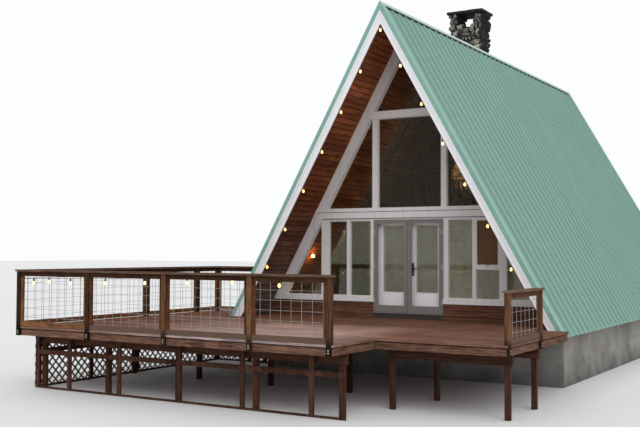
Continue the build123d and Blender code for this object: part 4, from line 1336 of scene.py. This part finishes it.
cover(latch, black_iron)
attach(latch, "cabin")
screen = start_block(
    "fly_screen",
    (sash_low[0] + rail_width, sash_high[1] - 0.003, sash_low[2] + rail_width),
    (sash_high[0] - rail_width, sash_high[1] - 0.001, sash_high[2] - rail_width),
    0.0005,
)
screen_mesh, tree, shader, place = new_material("screen_mesh", 0.8)
sag = noise(tree, place, 3, 4, 0.6)
tone = ramp(tree, sag, (0.3, (0.15, 0.07, 0.03)), (0.7, (0.24, 0.11, 0.05)))
tree.links.new(tone, shader.inputs["Base Color"])
tree.links.new(ramp(tree, sag, (0.3, 0.5), (0.7, 0.7)), shader.inputs["Alpha"])
relief(tree, shader, sag, 0.002)
cover(screen, screen_mesh)
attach(screen, "cabin")

# Door panels
# The lower rail of each inner door has a raised and fielded panel on both faces. Each is a thin planted board
# with a smaller one on it, painted like the door.
panel_foot = 0.09
panel_head = 0.07
panel_layers = (
    ("panel", 0, 0.006, 0, 0.0015),
    ("field", 0.005, 0.010, 0.04, 0.004),
)
for leaf in ("left_door", "right_door"):
    leaf_low, leaf_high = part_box(leaf)
    pane_low, pane_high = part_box(f"{leaf}_glass")
    for face, outward in ((leaf_low[1], -1), (leaf_high[1], 1)):
        parts = []
        for name, near, far, inset, ease in panel_layers:
            back, front = sorted((face + outward * near, face + outward * far))
            low = (pane_low[0] + inset, back, leaf_low[2] + panel_foot + inset)
            high = (pane_high[0] - inset, front, pane_low[2] - panel_head - inset)
            parts.append(start_block(name, low, high, ease))
        panel = joined(f"{leaf}_panel_{'outer' if outward < 0 else 'inner'}", parts)
        cover(panel, door_painted_light)
        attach(panel, leaf)


# String lights
# Amber glass bulbs hang in black sockets from a black cable. It is clipped under the gable's fascias, on
# both slopes, and to the backs of the railing posts along the front and the left side.
def spun(name, profile, sides):
    """A shape turned about the Z axis from a profile of radii and heights."""
    mesh = bpy.data.meshes.new(name)
    points = [(radius, 0, height) for radius, height in profile]
    mesh.from_pydata(points, [(step, step + 1) for step in range(len(profile) - 1)], [])
    piece = bpy.data.objects.new(name, mesh)
    bpy.context.collection.objects.link(piece)
    make_active(piece)
    bpy.ops.object.mode_set(mode="EDIT")
    bpy.ops.mesh.select_all(action="SELECT")
    bpy.ops.mesh.spin(steps=sides, angle=math.radians(360), center=(0, 0, 0), axis=(0, 0, 1))
    bpy.ops.mesh.select_all(action="SELECT")
    bpy.ops.mesh.remove_doubles(threshold=0.0002)
    bpy.ops.mesh.normals_make_consistent(inside=False)
    bpy.ops.object.mode_set(mode="OBJECT")
    bpy.ops.object.shade_smooth_by_angle(angle=math.radians(40))
    return piece


def lit_glass(name, pattern, deep, pale, strength):
    """Coloured glass with a lamp in it."""
    material, tree, shader, place = new_material(name, 0.3)
    warm = ramp(tree, noise(tree, place, *pattern), (0.3, deep), (0.7, pale))
    tree.links.new(warm, shader.inputs["Base Color"])
    tree.links.new(warm, shader.inputs["Emission Color"])
    shader.inputs["Emission Strength"].default_value = strength
    return material


def cable_run(first, last):
    """A straight length of cable between two points."""
    reach = Vector(last) - Vector(first)
    length = reach.length + cable_radius
    bpy.ops.mesh.primitive_cylinder_add(vertices=8, radius=cable_radius, depth=length)
    piece = bpy.context.object
    turn = reach.to_track_quat("Z", "Y").to_matrix().to_4x4()
    piece.data.transform(Matrix.Translation((Vector(first) + Vector(last)) / 2) @ turn)
    return piece


cable_radius = 0.004
socket_length = 0.052
bulb_profile = (
    (0.0, -0.118),
    (0.014, -0.113),
    (0.022, -0.098),
    (0.022, -0.083),
    (0.016, -0.064),
    (0.010, -0.050),
    (0.0, -0.050),
)
bulb = spun("bulb", bulb_profile, 10)
socket_profile = (
    (0.0, 0.004),
    (0.010, 0.004),
    (0.014, -0.004),
    (0.016, -socket_length),
    (0.0, -socket_length),
)
socket = spun("socket", socket_profile, 10)
clip = start_block("clip", (-0.006, -0.006, -0.007), (0.006, 0.006, 0.007), 0.002)
bulbs = []
dark_parts = []
string_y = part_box("fascia_boards")[0][1] + 0.019
fascia_depth = 0.232
bulb_drop = 0.019
cable_drop = 0.006
clip_back = 0.05
post_depth = 0.089
side_bulb_y = -5.354
for side, first_bulb, pitch, count in ((-1, 0.59, 0.965, 7), (1, 1.52, 0.968, 6)):
    inward = Vector((-side * math.sin(slope_angle), 0, -math.cos(slope_angle)))
    edge_points = []
    for number in range(count):
        height = ridge_top - (first_bulb + number * pitch) * math.sin(slope_angle)
        across = (ridge_top - height - fascia_depth / math.cos(slope_angle)) / math.tan(slope_angle)
        edge_points.append(Vector((side * across, string_y, height)))
    for edge in edge_points:
        hang = Matrix.Translation(edge + inward * bulb_drop)
        bulbs.append(laid_copy(bulb, hang))
        dark_parts.append(laid_copy(socket, hang))
        downhill = Vector((side * math.cos(slope_angle), 0, -math.sin(slope_angle)))
        pinned = Matrix.Translation(edge + inward * cable_drop - downhill * clip_back)
        dark_parts.append(laid_copy(clip, pinned @ Matrix.Rotation(side * slope_angle, 4, "Y")))
    top = Vector((0, string_y, ridge_top - fascia_depth / math.cos(slope_angle)))
    dark_parts.append(cable_run(top + inward * cable_drop, edge_points[-1] + inward * cable_drop))
post_back = whole_low[1] + post_depth
line_y = post_back + cable_drop
pins = [(-5.46, 2.17), (-3.62, 2.195), (-1.78, 2.24), (0.06, 2.285), (1.58, 2.17)]
for (first_x, first_z), (last_x, last_z) in zip(pins, pins[1:]):
    dark_parts.append(cable_run((first_x, line_y, first_z), (last_x, line_y, last_z)))
for across, height in pins:
    dark_parts.append(laid_copy(clip, Matrix.Translation((across, line_y, height))))
for across in (-5.133, -4.145, -3.248, -2.290, -1.317, -0.347, 0.606):
    before = max(pin for pin in pins if pin[0] < across)
    after = min(pin for pin in pins if pin[0] > across)
    share = (across - before[0]) / (after[0] - before[0])
    hang = Matrix.Translation((across, line_y, before[1] + share * (after[1] - before[1]) - 0.004))
    bulbs.append(laid_copy(bulb, hang))
    dark_parts.append(laid_copy(socket, hang))
side_x = whole_low[0] + post_depth + cable_drop
side_z = 2.175
side_posts = sorted(low[1] for low, high in post_boxes if low[0] < whole_low[0] + 0.01)
side_end = side_posts[1] + 0.045
dark_parts.append(cable_run((side_x, post_back - 0.04, side_z), (side_x, side_end, side_z)))
dark_parts.append(laid_copy(clip, Matrix.Translation((side_x, post_back - 0.04, side_z))))
dark_parts.append(laid_copy(clip, Matrix.Translation((side_x, side_end, side_z))))
hang = Matrix.Translation((side_x, side_bulb_y, side_z - 0.004))
bulbs.append(laid_copy(bulb, hang))
dark_parts.append(laid_copy(socket, hang))
string_bulbs = joined("string_bulbs", bulbs, bulb)
string_cable = joined("string_cable", dark_parts, socket, clip)
glow = lit_glass("amber_glow", (14, 3, 0.6), (1.0, 0.50, 0.12), (1.0, 0.66, 0.22), 4.5)
cover(string_bulbs, glow)
dusty_black = ((0.3, (0.012, 0.012, 0.012)), (0.75, (0.05, 0.048, 0.045)))
rubber = mottled("black_rubber", 0.6, (30, 4, 0.6), dusty_black, 0.0004)
cover(string_cable, rubber)
for piece in (string_bulbs, string_cable):
    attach(piece, "cabin")

# Wall lamp
# A lit opal globe on a turned bronze base is screwed to the sloping boards, behind the left triangular pane.
# Both are spun from a profile and turned to look away from the slope.
lamp_aim = Vector((0.870, 0, -0.493))
lamp_reach = 0.073
lamp_seat = Vector((-2.864, 0.67, 2.611)) - lamp_aim * lamp_reach
lamp_turn = lamp_aim.to_track_quat("Z", "Y").to_matrix().to_4x4()
base_profile = ((0.0, 0.0), (0.055, 0.0), (0.055, 0.008), (0.040, 0.016), (0.028, 0.040), (0.0, 0.040))
base = spun("lamp_base", base_profile, 20)
globe_profile = (
    (0.0, 0.032),
    (0.022, 0.036),
    (0.036, 0.054),
    (0.041, 0.074),
    (0.036, 0.094),
    (0.020, 0.110),
    (0.0, 0.114),
)
globe = spun("lamp_globe", globe_profile, 20)
opal = lit_glass("opal_glow", (18, 3, 0.5), (1.0, 0.50, 0.16), (1.0, 0.60, 0.24), 30.0)
worn_bronze = ((0.3, (0.03, 0.022, 0.015)), (0.75, (0.10, 0.075, 0.05)))
bronze = mottled("dark_bronze", 0.45, (30, 4, 0.6), worn_bronze, 0.0004, metallic=0.7)
for piece, finish in ((base, bronze), (globe, opal)):
    piece.data.transform(Matrix.Translation(lamp_seat) @ lamp_turn)
    cover(piece, finish)
    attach(piece, "cabin")
